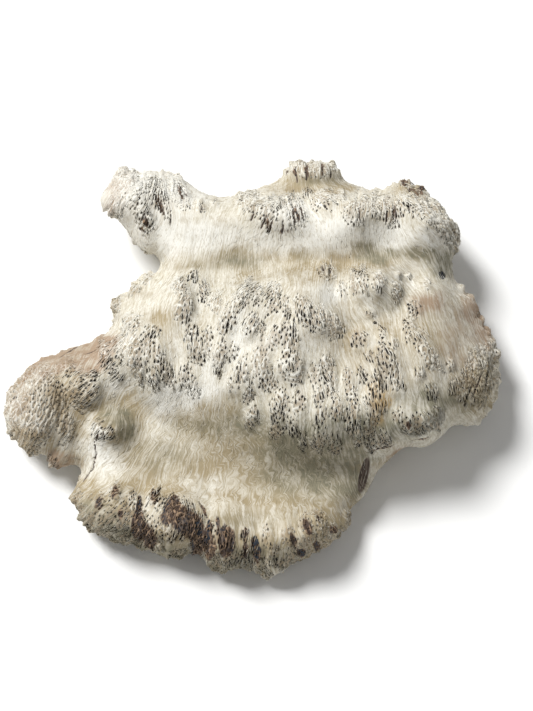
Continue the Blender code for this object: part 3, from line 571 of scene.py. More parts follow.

# %% [markdown]
# ## Where the weathering, the bark and painted light have coloured it
# Rain and dust have left tan, grey, rosy and golden patches on the cream wood, the sun has bleached
# others white, and a few hollows still hold dark bark. Some tan and grey patches are painted shade in
# the valleys, the hollow and on the front ridge, and some white ones are painted light on the front of
# the back ridge. They are soft ovals on the sheet again, each with a strength before its lean, and
# noise frays their edges.

# %% The stained places
STAINS_AND_PAINTED_LIGHT = {
    # tan: real stains, and painted shade in the valleys, the hollow under the dome and on the front ridge
    "tan": [
        (305, 480, 46, 20, 1.2), (325, 495, 24, 16, 0.8), (342, 470, 22, 22, 0.8),
        (60, 352, 30, 6, 0.6, -25), (127, 428, 11, 12, 1.5), (62, 458, 20, 10, 0.9, 10),
        (36, 448, 22, 5, 0.9, 20), (78, 492, 5, 16, 0.8, 10), (404, 255, 38, 6, 1.1),
        (363, 251, 9, 7, 1.0), (379, 260, 8, 6, 1.0), (474, 378, 20, 30, 0.7, 15),
        (45, 405, 40, 45, 0.25), (70, 425, 12, 22, 0.5), (30, 440, 26, 10, 0.5, 20),
        (270, 450, 70, 26, 0.5), (470, 390, 24, 12, 0.8, 30), (160, 318, 13, 10, 1.3),
        (215, 264, 40, 4, 0.6, -4), (233, 256, 18, 9, 1.4, -10), (302, 255, 13, 9, 1.0),
        (113, 305, 7, 9, 0.8), (134, 291, 8, 8, 0.6), (345, 335, 22, 30, 0.5),
        (395, 350, 50, 40, 0.35), (360, 360, 16, 12, 0.4), (110, 525, 44, 22, 1.0, 20),
        (180, 552, 50, 14, 1.1, 10), (250, 556, 60, 18, 1.0), (320, 532, 36, 24, 0.6, -30),
        (230, 522, 80, 12, 0.5), (62, 400, 14, 40, 0.6, 15), (85, 400, 8, 18, 0.5, 20),
        (20, 440, 20, 12, 0.5), (165, 515, 120, 10, 0.35), (190, 262, 30, 8, 0.2),
        (78, 352, 32, 9, 0.7, -20), (379, 403, 9, 15, 0.8), (240, 262, 38, 10, 0.45, -5),
        (300, 263, 40, 11, 0.55), (355, 262, 40, 11, 0.8), (150, 255, 16, 8, 0.3, -20),
        (250, 277, 18, 8, 0.6), (300, 277, 26, 9, 0.6), (345, 274, 24, 8, 0.4),
        (114, 413, 17, 10, 2.5), (125, 426, 13, 18, 2.5), (78, 410, 6, 10, 0.8), (81, 430, 8, 14, 0.8),
        (240, 436, 56, 20, 1.1, 15), (212, 412, 30, 10, 0.9, -10), (200, 466, 46, 14, 0.9, -10),
        (140, 462, 20, 18, 0.9, 20), (250, 462, 46, 16, 1.0, 10), (190, 430, 26, 12, 0.9, -20),
        (150, 490, 40, 9, 0.8), (128, 412, 22, 20, 1.2), (345, 500, 18, 30, 1.0),
        (335, 455, 40, 12, 0.8, 10), (215, 500, 50, 10, 0.6), (85, 500, 16, 26, 1.0, -20),
        (270, 492, 50, 15, 0.8, 10), (320, 492, 40, 20, 1.0, 20), (345, 475, 20, 14, 1.0),
        (130, 480, 12, 30, 0.5, 40), (300, 454, 60, 8, 0.8, -5), (40, 440, 20, 8, 0.5),
        (395, 330, 30, 16, 0.3), (440, 330, 26, 40, 0.5, -10), (455, 400, 30, 16, 0.6),
        (310, 186, 40, 9, 1.2), (340, 190, 16, 5, 0.8), (150, 210, 26, 20, 0.3),
        (410, 190, 20, 10, 0.9), (60, 390, 30, 30, 0.35), (160, 455, 34, 20, 0.5),
        (105, 414, 14, 9, 1.0), (480, 395, 12, 24, 0.5, 8), (392, 462, 16, 8, 0.9, -40),
        (100, 520, 34, 24, 1.1), (170, 545, 34, 16, 0.9), (240, 552, 50, 20, 0.8),
        (310, 536, 36, 22, 0.5, 20), (90, 495, 20, 14, 0.6), (360, 440, 50, 10, 0.5),
        (230, 400, 16, 12, 0.35), (170, 330, 16, 12, 0.3),
    ],
    # grey: olive patches, and painted shade low on the dome, in the hollow and on the front ridge
    "grey": [
        (98, 522, 30, 16, 1.1, 25), (120, 534, 24, 10, 0.6, 15), (127, 429, 10, 11, 1.2),
        (114, 411, 13, 4, 0.6, -10), (116, 415, 17, 9, 0.8), (124, 428, 10, 14, 0.8),
        (474, 380, 16, 24, 0.2, 15), (455, 330, 30, 60, 0.12), (232, 257, 16, 8, 0.6, -10),
        (302, 255, 11, 7, 0.4), (215, 264, 34, 3, 0.5, -4), (330, 425, 80, 24, 0.45),
        (415, 405, 30, 20, 0.3), (310, 380, 60, 20, 0.15), (240, 290, 60, 40, 0.12),
        (250, 400, 24, 12, 0.3), (330, 456, 45, 9, 1.1), (345, 430, 60, 18, 0.6),
        (430, 391, 7, 7, 1.0), (400, 300, 25, 14, 0.4), (442, 262, 16, 14, 1.2),
        (404, 254, 34, 6, 1.4), (363, 251, 9, 7, 1.6), (379, 260, 8, 6, 1.5), (300, 476, 44, 20, 0.9),
        (310, 452, 50, 10, 0.8, 5), (160, 455, 40, 18, 0.5), (235, 425, 40, 14, 0.6),
        (340, 480, 26, 16, 0.9), (440, 402, 34, 18, 0.7), (483, 380, 10, 28, 0.2, 8),
        (245, 262, 22, 6, 0.5), (320, 181, 26, 6, 0.5), (300, 430, 60, 12, 0.5),
        (400, 425, 40, 12, 0.7), (185, 425, 20, 8, 0.4), (260, 455, 30, 10, 0.3),
        (340, 490, 24, 14, 0.5), (225, 520, 60, 10, 0.3), (110, 530, 44, 18, 0.8, 20),
        (230, 560, 70, 16, 0.8), (310, 545, 44, 16, 0.15, -30), (160, 548, 40, 12, 0.5, 10),
    ],
    "rosy": [
        (478, 315, 14, 30, 0.5, -10), (40, 400, 40, 40, 0.15), (78, 354, 36, 12, 2.2, -20),
        (92, 360, 18, 12, 2.0, -10), (76, 362, 20, 6, 1.5, -20), (38, 372, 16, 8, 0.8, -40),
        (98, 347, 14, 9, 1.4), (50, 362, 20, 8, 1.0, -30), (116, 196, 10, 22, 0.6, 30),
        (428, 304, 18, 11, 0.9), (470, 308, 12, 14, 0.6), (484, 335, 9, 18, 0.6),
        (455, 345, 16, 34, 0.4, -10), (62, 461, 14, 8, 1.8, 20), (18, 400, 12, 26, 0.35),
        (398, 452, 14, 4, 0.6, -30), (359, 338, 7, 7, 0.4), (74, 362, 12, 6, 0.6),
    ],
    "gold": [
        (379, 408, 6, 14, 1.5), (374, 388, 9, 8, 0.7), (385, 398, 6, 8, 0.6), (386, 396, 4, 8, 0.5),
        (352, 402, 4, 10, 0.4), (180, 533, 12, 10, 0.3),
    ],
    # white: bleached patches, and painted light on the front of the back ridge
    "white": [
        (290, 345, 110, 60, 0.12), (330, 238, 90, 16, 0.5), (40, 410, 34, 36, 0.3),
        (200, 240, 60, 14, 0.4), (140, 200, 44, 34, 1.2), (175, 395, 26, 16, 0.8),
        (150, 250, 26, 10, 0.6), (190, 236, 40, 15, 0.9), (290, 240, 34, 12, 0.9),
        (335, 228, 22, 16, 1.0), (292, 214, 26, 14, 0.8), (385, 236, 30, 13, 0.9),
        (430, 240, 12, 10, 0.6), (150, 246, 14, 8, 0.6), (205, 397, 22, 14, 0.8),
        (165, 402, 22, 12, 0.9), (120, 386, 14, 10, 0.9), (98, 440, 12, 20, 0.9),
        (115, 462, 18, 10, 0.8), (240, 336, 10, 26, 0.7), (211, 372, 9, 16, 0.7),
        (330, 295, 14, 10, 0.7), (190, 195, 20, 14, 0.5), (70, 445, 14, 6, 0.6),
        (289, 456, 2.5, 2, 3.0), (410, 287, 8, 6, 0.6),
    ],
    # bark: bark left on the front ridge and in hollows; the narrow ones on the back ridge and the knob
    # darken the slits there, partly as painted shade
    "bark": [
        (139, 508, 3, 12, 1.2), (139, 520, 6, 11, 1.2, -10), (138, 530, 7, 9, 1.1, -20),
        (151, 537, 6, 11, 1.2, -15), (169, 512, 6, 13, 1.3, 20), (176, 508, 4, 12, 1.3, -10),
        (184, 521, 11, 15, 1.3, -30), (197, 541, 7, 15, 1.3), (195, 526, 6, 9, 1.3),
        (209, 533, 5, 12, 1.3), (212, 548, 6, 10, 1.2), (226, 537, 8, 12, 1.1, -15),
        (227, 548, 6, 7, 1.0), (218, 522, 2, 6, 0.9), (256, 549, 4, 10, 1.5, -10),
        (204, 512, 2, 9, 1.0, -30), (245, 533, 3, 6, 1.0), (245, 549, 3, 8, 1.0),
        (301, 551, 4, 4, 1.4), (307, 528, 4, 9, 0.9, -20), (293, 540, 3, 9, 0.8, -15),
        (115, 494, 4, 7, 0.8), (155, 498, 4, 8, 0.8), (120, 515, 4, 8, 0.7), (408, 424, 3, 4, 1.0),
        (384, 446, 14, 1.5, 0.7, -10), (422, 438, 14, 1.5, 0.6, -10), (316, 545, 4, 6, 0.9),
        (100, 505, 4, 7, 0.7), (331, 529, 4, 5, 0.8), (283, 231, 12, 4, 0.5), (267, 222, 2, 7, 0.7),
        (296, 216, 2, 10, 0.7, -10), (395, 214, 2, 9, 0.6), (160, 205, 2, 12, 0.8, -25),
        (146, 222, 2, 8, 0.8, -20), (180, 196, 2, 8, 0.8, -30), (142, 230, 5, 2, 0.7, 30),
        (413, 192, 2, 6, 1.0, -30), (420, 192, 2, 6, 1.0), (404, 184, 3, 3, 1.0),
        (307, 172, 2, 8, 0.8), (297, 174, 2, 6, 0.8), (322, 170, 2, 7, 0.8),
    ],
}  # fmt: skip
STAIN_FRAY = 5.0  # sheet units
BARK_FRAY = 0.45  # bark ends more sharply than a stain


def stain_and_light_strength(sheet, facing, kind):
    frayed = sheet + STAIN_FRAY * np.column_stack([
        sheet_noise(sheet, 8.0, 7.0), sheet_noise(sheet, 14.0, 83.0),
    ])  # fmt: skip
    total = np.zeros(len(sheet))
    for x, y, half_width, half_length, strength, *lean in STAINS_AND_PAINTED_LIGHT[kind]:
        fray = BARK_FRAY if kind == "bark" else 1.0
        across, along = turned(sheet + fray * (frayed - sheet), x, y, *lean)
        away = (across / half_width) ** 2 + (along / half_length) ** 2
        total += strength * np.exp(-(away**1.5))
    return np.clip(total, 0, 1) * smooth_step(-0.3, 0.2, facing)


stains_and_light = {kind: stain_and_light_strength(sheet, facing, kind) for kind in STAINS_AND_PAINTED_LIGHT}
print("stained share:", {kind: round(float(values.mean()), 3) for kind, values in stains_and_light.items()})

# %% [markdown]
# ## What the finish needs to know
# The shader can't see clusters, fibres, stained patches or painted light and shade, so they are kept on
# the skin as attributes, three numbers in each. An image on a UV map could hold them too, but attributes
# need neither a map nor a file. The grain goes along as well: x across the fibres and y along them.

# %% Keep the marks on the skin
def keep_vector(mesh, name, values):
    layer = mesh.attributes.new(name, "FLOAT_VECTOR", "POINT")
    layer.data.foreach_set("vector", np.ascontiguousarray(values, dtype=float).ravel())


side = smooth_step(0.45, 0.05, facing)
keep_vector(wood.data, "eye_marks", np.column_stack([pit, in_cluster, trough_shade]))
keep_vector(wood.data, "weather_and_shade", np.column_stack([stains_and_light["tan"], stains_and_light["grey"], stains_and_light["rosy"]]))
keep_vector(wood.data, "patches", np.column_stack([stains_and_light["gold"], stains_and_light["white"], stains_and_light["bark"]]))
keep_vector(wood.data, "grain", grain)
keep_vector(wood.data, "lie", np.column_stack([side, scar, slit]))

# %% [markdown]
# ## The sawn face
# The skin still reaches below the saw cut. A bisect cuts it along one plane and closes the hole with a
# flat face, which a Boolean with a box could do too, but more slowly. The points of the cut are put
# exactly on the plane, so that no part of the flat face tilts.

# %% Saw the base flat again
SAW_TOLERANCE = 0.00002
uncut_faces = [list(face.vertices) for face in wood.data.polygons]
work_on(wood)
bpy.ops.object.mode_set(mode="EDIT")
bpy.ops.mesh.select_mode(type="VERT")
bpy.ops.mesh.select_all(action="SELECT")
bpy.ops.mesh.bisect(
    plane_co=(0, 0, 0), plane_no=(0, 0, 1), use_fill=True, clear_inner=True, threshold=0.000001
)
bpy.ops.object.mode_set(mode="OBJECT")
for corner in wood.data.vertices:
    if corner.co.z < SAW_TOLERANCE:
        corner.co.z = 0.0
for face in wood.data.polygons:
    sawn = all(wood.data.vertices[i].co.z < SAW_TOLERANCE for i in face.vertices)
    face.use_smooth = not sawn
print("wood:", sum(len(face.vertices) - 2 for face in wood.data.polygons), "triangles")

# %% [markdown]
# ## Walls round the eyes
# The wood between the eyes is a net of thin pale walls. They part above an eye, pass it on both sides
# and meet again below it. So each eye gets two walls, each a thin spindle with three sides whose ends
# dip into the wood. Curves with a bevel could make them, but thousands of curves become far more faces.
# The walls stand on the skin as it was before the eyes were sunk.

# %% Helpers for walls and fibres
WALL_KNOTS = 4
WALL_REACH = 1.35
WALL_WIDTH = 0.00023
WALL_HEIGHT = 0.00060
WALL_SINK = 0.0008
WALL_BOW = 1.2  # how far a wall bows round its eye, in half widths of the eye
DARKEST_WALL = 0.40
BLUNT_TIP = 0.2  # the angle that a spindle's taper starts and ends with
LOWEST_CORE = 0.001


def settle(skin, spots):
    """The nearest places on a skin, and the normals there."""
    found = [skin.find_nearest(spot) for spot in spots.reshape(-1, 3).tolist()]
    places = np.array([tuple(hit[0]) for hit in found]).reshape(spots.shape)
    ups = np.array([tuple(hit[1]) for hit in found]).reshape(spots.shape)
    return places, ups


def spin_spindles(name, paths, ups, widths, heights, sink):
    """One mesh of closed three-sided spindles along the paths."""
    count, knots, _ = paths.shape
    ahead = np.gradient(paths, axis=1)
    ahead /= np.maximum(np.linalg.norm(ahead, axis=2, keepdims=True), 1e-9)
    aside = np.cross(ups, ahead)
    taper = np.sin(np.linspace(BLUNT_TIP, math.pi - BLUNT_TIP, knots))[None, :, None]
    wide = widths[:, None, None] * taper
    high = heights[:, None, None] * taper
    core = paths - ups * sink * (1 - taper)
    core[:, :, 2] = np.maximum(core[:, :, 2], LOWEST_CORE)
    left = core - aside * wide - ups * high
    right = core + aside * wide - ups * high
    rings = np.stack([left, right, core + ups * high], axis=2)
    faces = []
    for ring in range(knots - 1):
        for corner in range(3):
            here = ring * 3 + corner
            beside = ring * 3 + (corner + 1) % 3
            faces.append((here, beside, beside + 3, here + 3))
    caps = [(2, 1, 0), tuple((knots - 1) * 3 + corner for corner in range(3))]
    offsets = (np.arange(count) * knots * 3)[:, None, None]
    sides = (np.array(faces)[None] + offsets).reshape(-1, 4).tolist()
    ends = (np.array(caps)[None] + offsets).reshape(-1, 3).tolist()
    mesh = bpy.data.meshes.new(name)
    mesh.from_pydata(rings.reshape(-1, 3).tolist(), [], sides + ends)
    piece = bpy.data.objects.new(name, mesh)
    bpy.context.scene.collection.objects.link(piece)
    work_on(piece)
    bpy.ops.object.mode_set(mode="EDIT")
    bpy.ops.mesh.select_all(action="SELECT")
    bpy.ops.mesh.normals_make_consistent(inside=False)
    bpy.ops.object.mode_set(mode="OBJECT")
    bpy.ops.object.shade_smooth()
    print(name + ":", count, "spindles with", count * (6 * knots - 4), "triangles")
    return piece


def spread_marks(piece, knots, origins, darkest):
    """Gives each spindle the marks of the skin where it starts, and a tone between darkest and 1."""
    tone = draw.uniform(darkest, 1.0, len(origins))
    per_spindle = {
        "eye_marks": np.column_stack([0 * tone, in_cluster[origins], tone]),
        "weather_and_shade": np.column_stack([stains_and_light[kind][origins] for kind in ("tan", "grey", "rosy")]),
        "patches": np.column_stack([stains_and_light[kind][origins] for kind in ("gold", "white", "bark")]),
    }
    for name, values in per_spindle.items():
        keep_vector(piece.data, name, np.repeat(values, knots * 3, axis=0))


# %% Raise the walls
top_skin = bvhtree.BVHTree.FromPolygons(top.tolist(), uncut_faces)
eyes = np.array(eyes)
steps = np.linspace(-1, 1, WALL_KNOTS)[None, :, None]
wall_length = WALL_REACH * np.array(half_lengths)[:, None, None]
wall_bow = WALL_BOW * np.array(half_widths)[:, None, None] * np.cos(steps * math.pi / 2.3)
walls = []
for hand in (-1, 1):
    paths = top[eyes][:, None, :] + run[eyes][:, None, :] * steps * wall_length
    walls.append(paths + hand * cross[eyes][:, None, :] * wall_bow)
wall_paths, wall_ups = settle(top_skin, np.concatenate(walls))
wall_eyes = np.concatenate([eyes, eyes])
wall_pieces = []
rows = np.array_split(np.argsort(-wall_paths[:, 1, 1], kind="stable"), 3)
for name, row in zip(("back_walls", "middle_walls", "front_walls"), rows):
    widths = WALL_WIDTH * draw.uniform(0.6, 1.5, len(row))
    heights = WALL_HEIGHT * draw.uniform(0.5, 1.4, len(row))
    piece = spin_spindles(name, wall_paths[row], wall_ups[row], widths, heights, WALL_SINK)
    spread_marks(piece, WALL_KNOTS, wall_eyes[row], DARKEST_WALL)
    wall_pieces.append(piece)

# %% [markdown]
# ## Loose fibres
# Weathered burl is hairy: bundles of fibres have come loose from the smooth wood and lie on it, combed
# down the face. Each bundle is a spindle like a wall, but longer and lower. It starts at a random
# place, follows the fibres for several millimetres and dips back into the wood at both ends.

# %% Comb the loose fibres
FIBRE_STEPS = 4
FIBRE_STEP_LENGTH = 0.0017
FIBRE_WIDTH = 0.00030
FIBRE_HEIGHT = 0.00036
FIBRE_SINK = 0.00045
FIBRE_SPACING = 0.0029
FIBRE_SWAY = 0.38
FIBRES_AT_MOST = 7000
FIBRE_SAW_MARGIN = 0.004
DARKEST_FIBRE = 0.25

smooth_places = np.flatnonzero((share > 1.02) & (points[:, 2] > FIBRE_SAW_MARGIN))
order = smooth_places[draw.permutation(len(smooth_places))].tolist()
roots = np.array(keep_apart(points, order, FIBRE_SPACING)[:FIBRES_AT_MOST])
place, up = settle(top_skin, top[roots])
paths = [place]
ups = [up]
lengths = FIBRE_STEP_LENGTH * draw.uniform(0.6, 1.5, (len(roots), 1))
for _ in range(FIBRE_STEPS):
    ahead = fibre_direction(place, up)
    aside = np.cross(up, ahead) * FIBRE_SWAY * draw.normal(size=(len(roots), 1))
    place, up = settle(top_skin, place + (ahead + aside) * lengths)
    paths.append(place)
    ups.append(up)
widths = FIBRE_WIDTH * draw.uniform(0.6, 1.5, len(roots))
heights = FIBRE_HEIGHT * draw.uniform(0.6, 1.4, len(roots))
loose_fibres = spin_spindles(
    "loose_fibres", np.stack(paths, axis=1), np.stack(ups, axis=1), widths, heights, FIBRE_SINK
)
spread_marks(loose_fibres, FIBRE_STEPS + 1, roots, DARKEST_FIBRE)

# %% [markdown]
# ## Helpers for the finishes
# A finish is a tree of nodes. Wired by hand it would be many screens wide, so small helpers make one
# node each and join it to what feeds it, which may be another node's socket, a number or a colour.
# All finishes mix the same few tones of weathered wood.

# %% The tones, and helpers that make one node each
# TAN and GREY also paint shade where the tan and grey patches lie in the valleys, the hollow and on the
# front ridge, and BLEACHED paints light where the white ones lie on the back ridge
CREAM = (0.60, 0.555, 0.445, 1)
BLEACHED = (0.88, 0.865, 0.80, 1)
TAN = (0.36, 0.29, 0.175, 1)
GREY = (0.22, 0.205, 0.14, 1)
ROSY = (0.37, 0.27, 0.185, 1)
GOLD = (0.46, 0.325, 0.15, 1)
# painted shade for the troughs and the meshes between the eyes
TROUGH_SHADE = (0.31, 0.235, 0.15, 1)
BARK = (0.052, 0.031, 0.021, 1)
BARK_RIDGE = (0.36, 0.245, 0.155, 1)
BLUE_BARK = (0.014, 0.020, 0.030, 1)
SLIT_BROWN = (0.14, 0.105, 0.08, 1)
# the near-black of the eyes, partly their own dark and partly painted shade in the pits
EYE_DARK_AND_SHADE = (0.016, 0.011, 0.008, 1)
SAWN_PALE = (0.58, 0.47, 0.32, 1)


def add_node(tree, kind, **settings):
    node = tree.nodes.new(kind)
    for name, value in settings.items():
        setattr(node, name, value)
    return node


def feed(socket, value):
    """Joins a socket to another one, or sets it to a plain number or colour."""
    if isinstance(value, bpy.types.NodeSocket):
        socket.id_data.links.new(value, socket)
    else:
        socket.default_value = value


def number(operation, first, *others):
    """One step of arithmetic. The first value is a socket, and its tree gets the node."""
    node = add_node(first.id_data, "ShaderNodeMath", operation=operation)
    for socket, value in zip(node.inputs, (first, *others)):
        feed(socket, value)
    return node.outputs[0]


def times(first, *others):
    for other in others:
        first = number("MULTIPLY", first, other)
    return first


def plus(first, *others):
    for other in others:
        first = number("ADD", first, other)
    return first


def scaled(value, factor, offset):
    return number("MULTIPLY_ADD", value, factor, offset)


def mix_colour(amount, first, second):
    """The first colour where amount is 0, the second where it is 1."""
    node = add_node(amount.id_data, "ShaderNodeMix", data_type="RGBA")
    named = {socket.identifier: socket for socket in node.inputs}
    feed(named["Factor_Float"], amount)
    feed(named["A_Color"], first)
    feed(named["B_Color"], second)
    return next(socket for socket in node.outputs if socket.identifier == "Result_Color")


def ramped(value, low, high):
    """0 at low and 1 at high, with a soft rise between. Low may be the larger of the two."""
    node = add_node(value.id_data, "ShaderNodeMapRange", interpolation_type="SMOOTHSTEP")
    feed(node.inputs["Value"], value)
    feed(node.inputs["From Min"], low)
    feed(node.inputs["From Max"], high)
    return node.outputs["Result"]


def stretched(vector, widths):
    node = add_node(vector.id_data, "ShaderNodeVectorMath", operation="MULTIPLY")
    feed(node.inputs[0], vector)
    feed(node.inputs[1], [1 / width for width in widths])
    return node.outputs[0]


def stretched_noise(vector, widths, detail=3.0, roughness=0.6):
    """A noise whose lumps have these widths in metres along x, y and z."""
    node = add_node(vector.id_data, "ShaderNodeTexNoise")
    feed(node.inputs["Scale"], 1.0)
    feed(node.inputs["Detail"], detail)
    feed(node.inputs["Roughness"], roughness)
    feed(node.inputs["Vector"], stretched(vector, widths))
    return node.outputs["Fac"]


def stretched_net(vector, widths):
    """0 on the threads of a net whose meshes have these widths, and more inside the meshes."""
    node = add_node(vector.id_data, "ShaderNodeTexVoronoi", feature="DISTANCE_TO_EDGE")
    feed(node.inputs["Scale"], 1.0)
    feed(node.inputs["Vector"], stretched(vector, widths))
    return node.outputs["Distance"]


def bumped(height, strength, distance):
    """A normal that leans as it would on a relief of this height."""
    node = add_node(height.id_data, "ShaderNodeBump")
    feed(node.inputs["Strength"], strength)
    feed(node.inputs["Distance"], distance)
    feed(node.inputs["Height"], height)
    return node.outputs["Normal"]


def marks_of(tree, name):
    """The three numbers that an attribute of the skin holds."""
    attribute = add_node(tree, "ShaderNodeAttribute", attribute_name=name)
    parts = add_node(tree, "ShaderNodeSeparateXYZ")
    feed(parts.inputs[0], attribute.outputs["Vector"])
    return tuple(parts.outputs)


def place_on(tree):
    """The place of a point on its piece, in metres."""
    return add_node(tree, "ShaderNodeTexCoord").outputs["Object"]


def start_finish(name):
    """A new material and its shader."""
    material = bpy.data.materials.new(name)
    material.use_nodes = True
    return material, material.node_tree.nodes["Principled BSDF"]


def start_group(name, inputs, outputs):
    """A new node group, what comes into it and what goes out of it."""
    group = bpy.data.node_groups.new(name, "ShaderNodeTree")
    for way, sockets in (("INPUT", inputs), ("OUTPUT", outputs)):
        for socket, kind in sockets.items():
            group.interface.new_socket(socket, in_out=way, socket_type="NodeSocket" + kind)
    entry = add_node(group, "NodeGroupInput")
    end = add_node(group, "NodeGroupOutput")
    return group, entry.outputs, end.inputs


def place_group(tree, group, **inputs):
    """Places a node group in a material, fed by these values, and gives what comes out."""
    node = add_node(tree, "ShaderNodeGroup", node_tree=group)
    for name, value in inputs.items():
        feed(node.inputs[name], value)
    return node.outputs


# %% [markdown]
# ## The streaks of the wood
# Weathered wood shows fine hairs and broader bands along its fibres, a short fuzz, and a net of threads
# between the eyes. A plain noise looks like clouds, but stretched along the grain that is kept on the
# skin it looks like hair. On the steep sides that grain runs out, and the streaks run straight down.

# %% The streaks, as a node group
STREAKS = {  # how it is drawn, its widths along the grain, and its widths on the steep sides
    "Hair": (stretched_noise, (0.0012, 0.0260, 0.02), (0.0014, 0.0014, 0.014)),
    "Band": (stretched_noise, (0.0055, 0.018, 0.03), (0.0055, 0.0055, 0.02)),
    "Fuzz": (stretched_noise, (0.0012, 0.0034, 0.010), (0.0012, 0.0012, 0.0034)),
    "Net": (stretched_net, (0.0024, 0.0065, 0.06), (0.0024, 0.0024, 0.0060)),
}
BLOTCH_SIZE = (0.014, 0.014, 0.014)
BLOTCH_DETAIL = 5.0


def make_streaks():
    group, given, result = start_group(
        "wood_streaks",
        {"Grain": "Vector", "Place": "Vector", "Side": "Float"},
        {name: "Float" for name in (*STREAKS, "Blotch")},
    )
    for name, (draw_streak, face_widths, side_widths) in STREAKS.items():
        mixed = add_node(group, "ShaderNodeMix", data_type="FLOAT")
        feed(mixed.inputs[0], given["Side"])
        feed(mixed.inputs[2], draw_streak(given["Grain"], face_widths))
        feed(mixed.inputs[3], draw_streak(given["Place"], side_widths))
        feed(result[name], mixed.outputs[0])
    feed(result["Blotch"], stretched_noise(given["Place"], BLOTCH_SIZE, BLOTCH_DETAIL))
    return group


wood_streaks = make_streaks()
print("streaks:", ", ".join(STREAKS))

# %% [markdown]
# ## The weathered tone
# Sun bleaches the cream wood, and rain and dust stain it. Some of the tan and grey patches are painted
# shade and some of the white ones painted light. The skin, the walls and the loose fibres are the same
# wood and share this tone, so it is a node group that two materials place. Each brings its own
# streaks, and the stained and painted patches come from the attributes that every piece carries.

# %% The weathered tone, as a node group
def make_weathered_tone():
    group, given, result = start_group(
        "weathered_tone",
        {name: "Float" for name in ("Hair", "Band", "Fuzz", "Blotch")},
        {"Tone": "Color", "Bark": "Float", "Stained": "Float"},
    )
    hair, band, fuzz, blotch = (given[name] for name in ("Hair", "Band", "Fuzz", "Blotch"))
    tan, grey, rosy = marks_of(group, "weather_and_shade")
    gold, white, bark = marks_of(group, "patches")
    pale = scaled(ramped(hair, 0.42, 0.60), 0.34, -0.01)
    # the white patches bleach the wood, and on the back ridge they are partly painted light
    pale = plus(pale, times(ramped(blotch, 0.40, 0.62), 0.30), times(white, 0.65))
    pale = number("MAXIMUM", number("MINIMUM", pale, 1.0), 0.0)
    tone = mix_colour(pale, CREAM, BLEACHED)
    tone = mix_colour(times(ramped(fuzz, 0.47, 0.36), 0.40), tone, TAN)
    tone = mix_colour(times(ramped(fuzz, 0.53, 0.64), 0.45), tone, BLEACHED)
    unbleached = scaled(white, -0.6, 1.0)
    for streak_mask, most in (
        (ramped(blotch, 0.52, 0.68), 0.45),
        (ramped(band, 0.50, 0.68), 0.25),
        (ramped(hair, 0.46, 0.34), 0.28),
    ):
        tone = mix_colour(times(streak_mask, most, unbleached), tone, TAN)
    patchy = scaled(ramped(blotch, 0.35, 0.65), 0.7, 0.5)
    streaky = scaled(ramped(hair, 0.60, 0.40), 0.7, 0.5)
    # tan, grey, rosy and gold patches; the tan and grey ones are partly painted shade
    for stain, colour, most in (
        (tan, TAN, 1.1), (grey, GREY, 0.95), (rosy, ROSY, 1.4), (gold, GOLD, 1.1),
    ):  # fmt: skip
        amount = number("MINIMUM", times(stain, patchy, most, streaky), 1.0)
        tone = mix_colour(amount, tone, colour)
    feed(result["Tone"], tone)
    feed(result["Bark"], bark)
    feed(result["Stained"], number("MAXIMUM", tan, grey))
    return group


weathered_tone = make_weathered_tone()
print("tone of the wood:", ", ".join(socket.name for socket in weathered_tone.interface.items_tree))

# %% [markdown]
# ## The grown face
# On top of the weathered tone come pale threads between the eyes and painted brown shade in the troughs
# and meshes between them, the bark that is left, the slits and scars, and last the dark eyes. The dark
# of the slits and eyes is partly painted shade in their hollows. Painting them by hand would not follow
# the relief, so each is mixed in where its mark on the skin says. Hairs and threads also lift the light
# a little with a bump, because they are far finer than the faces.

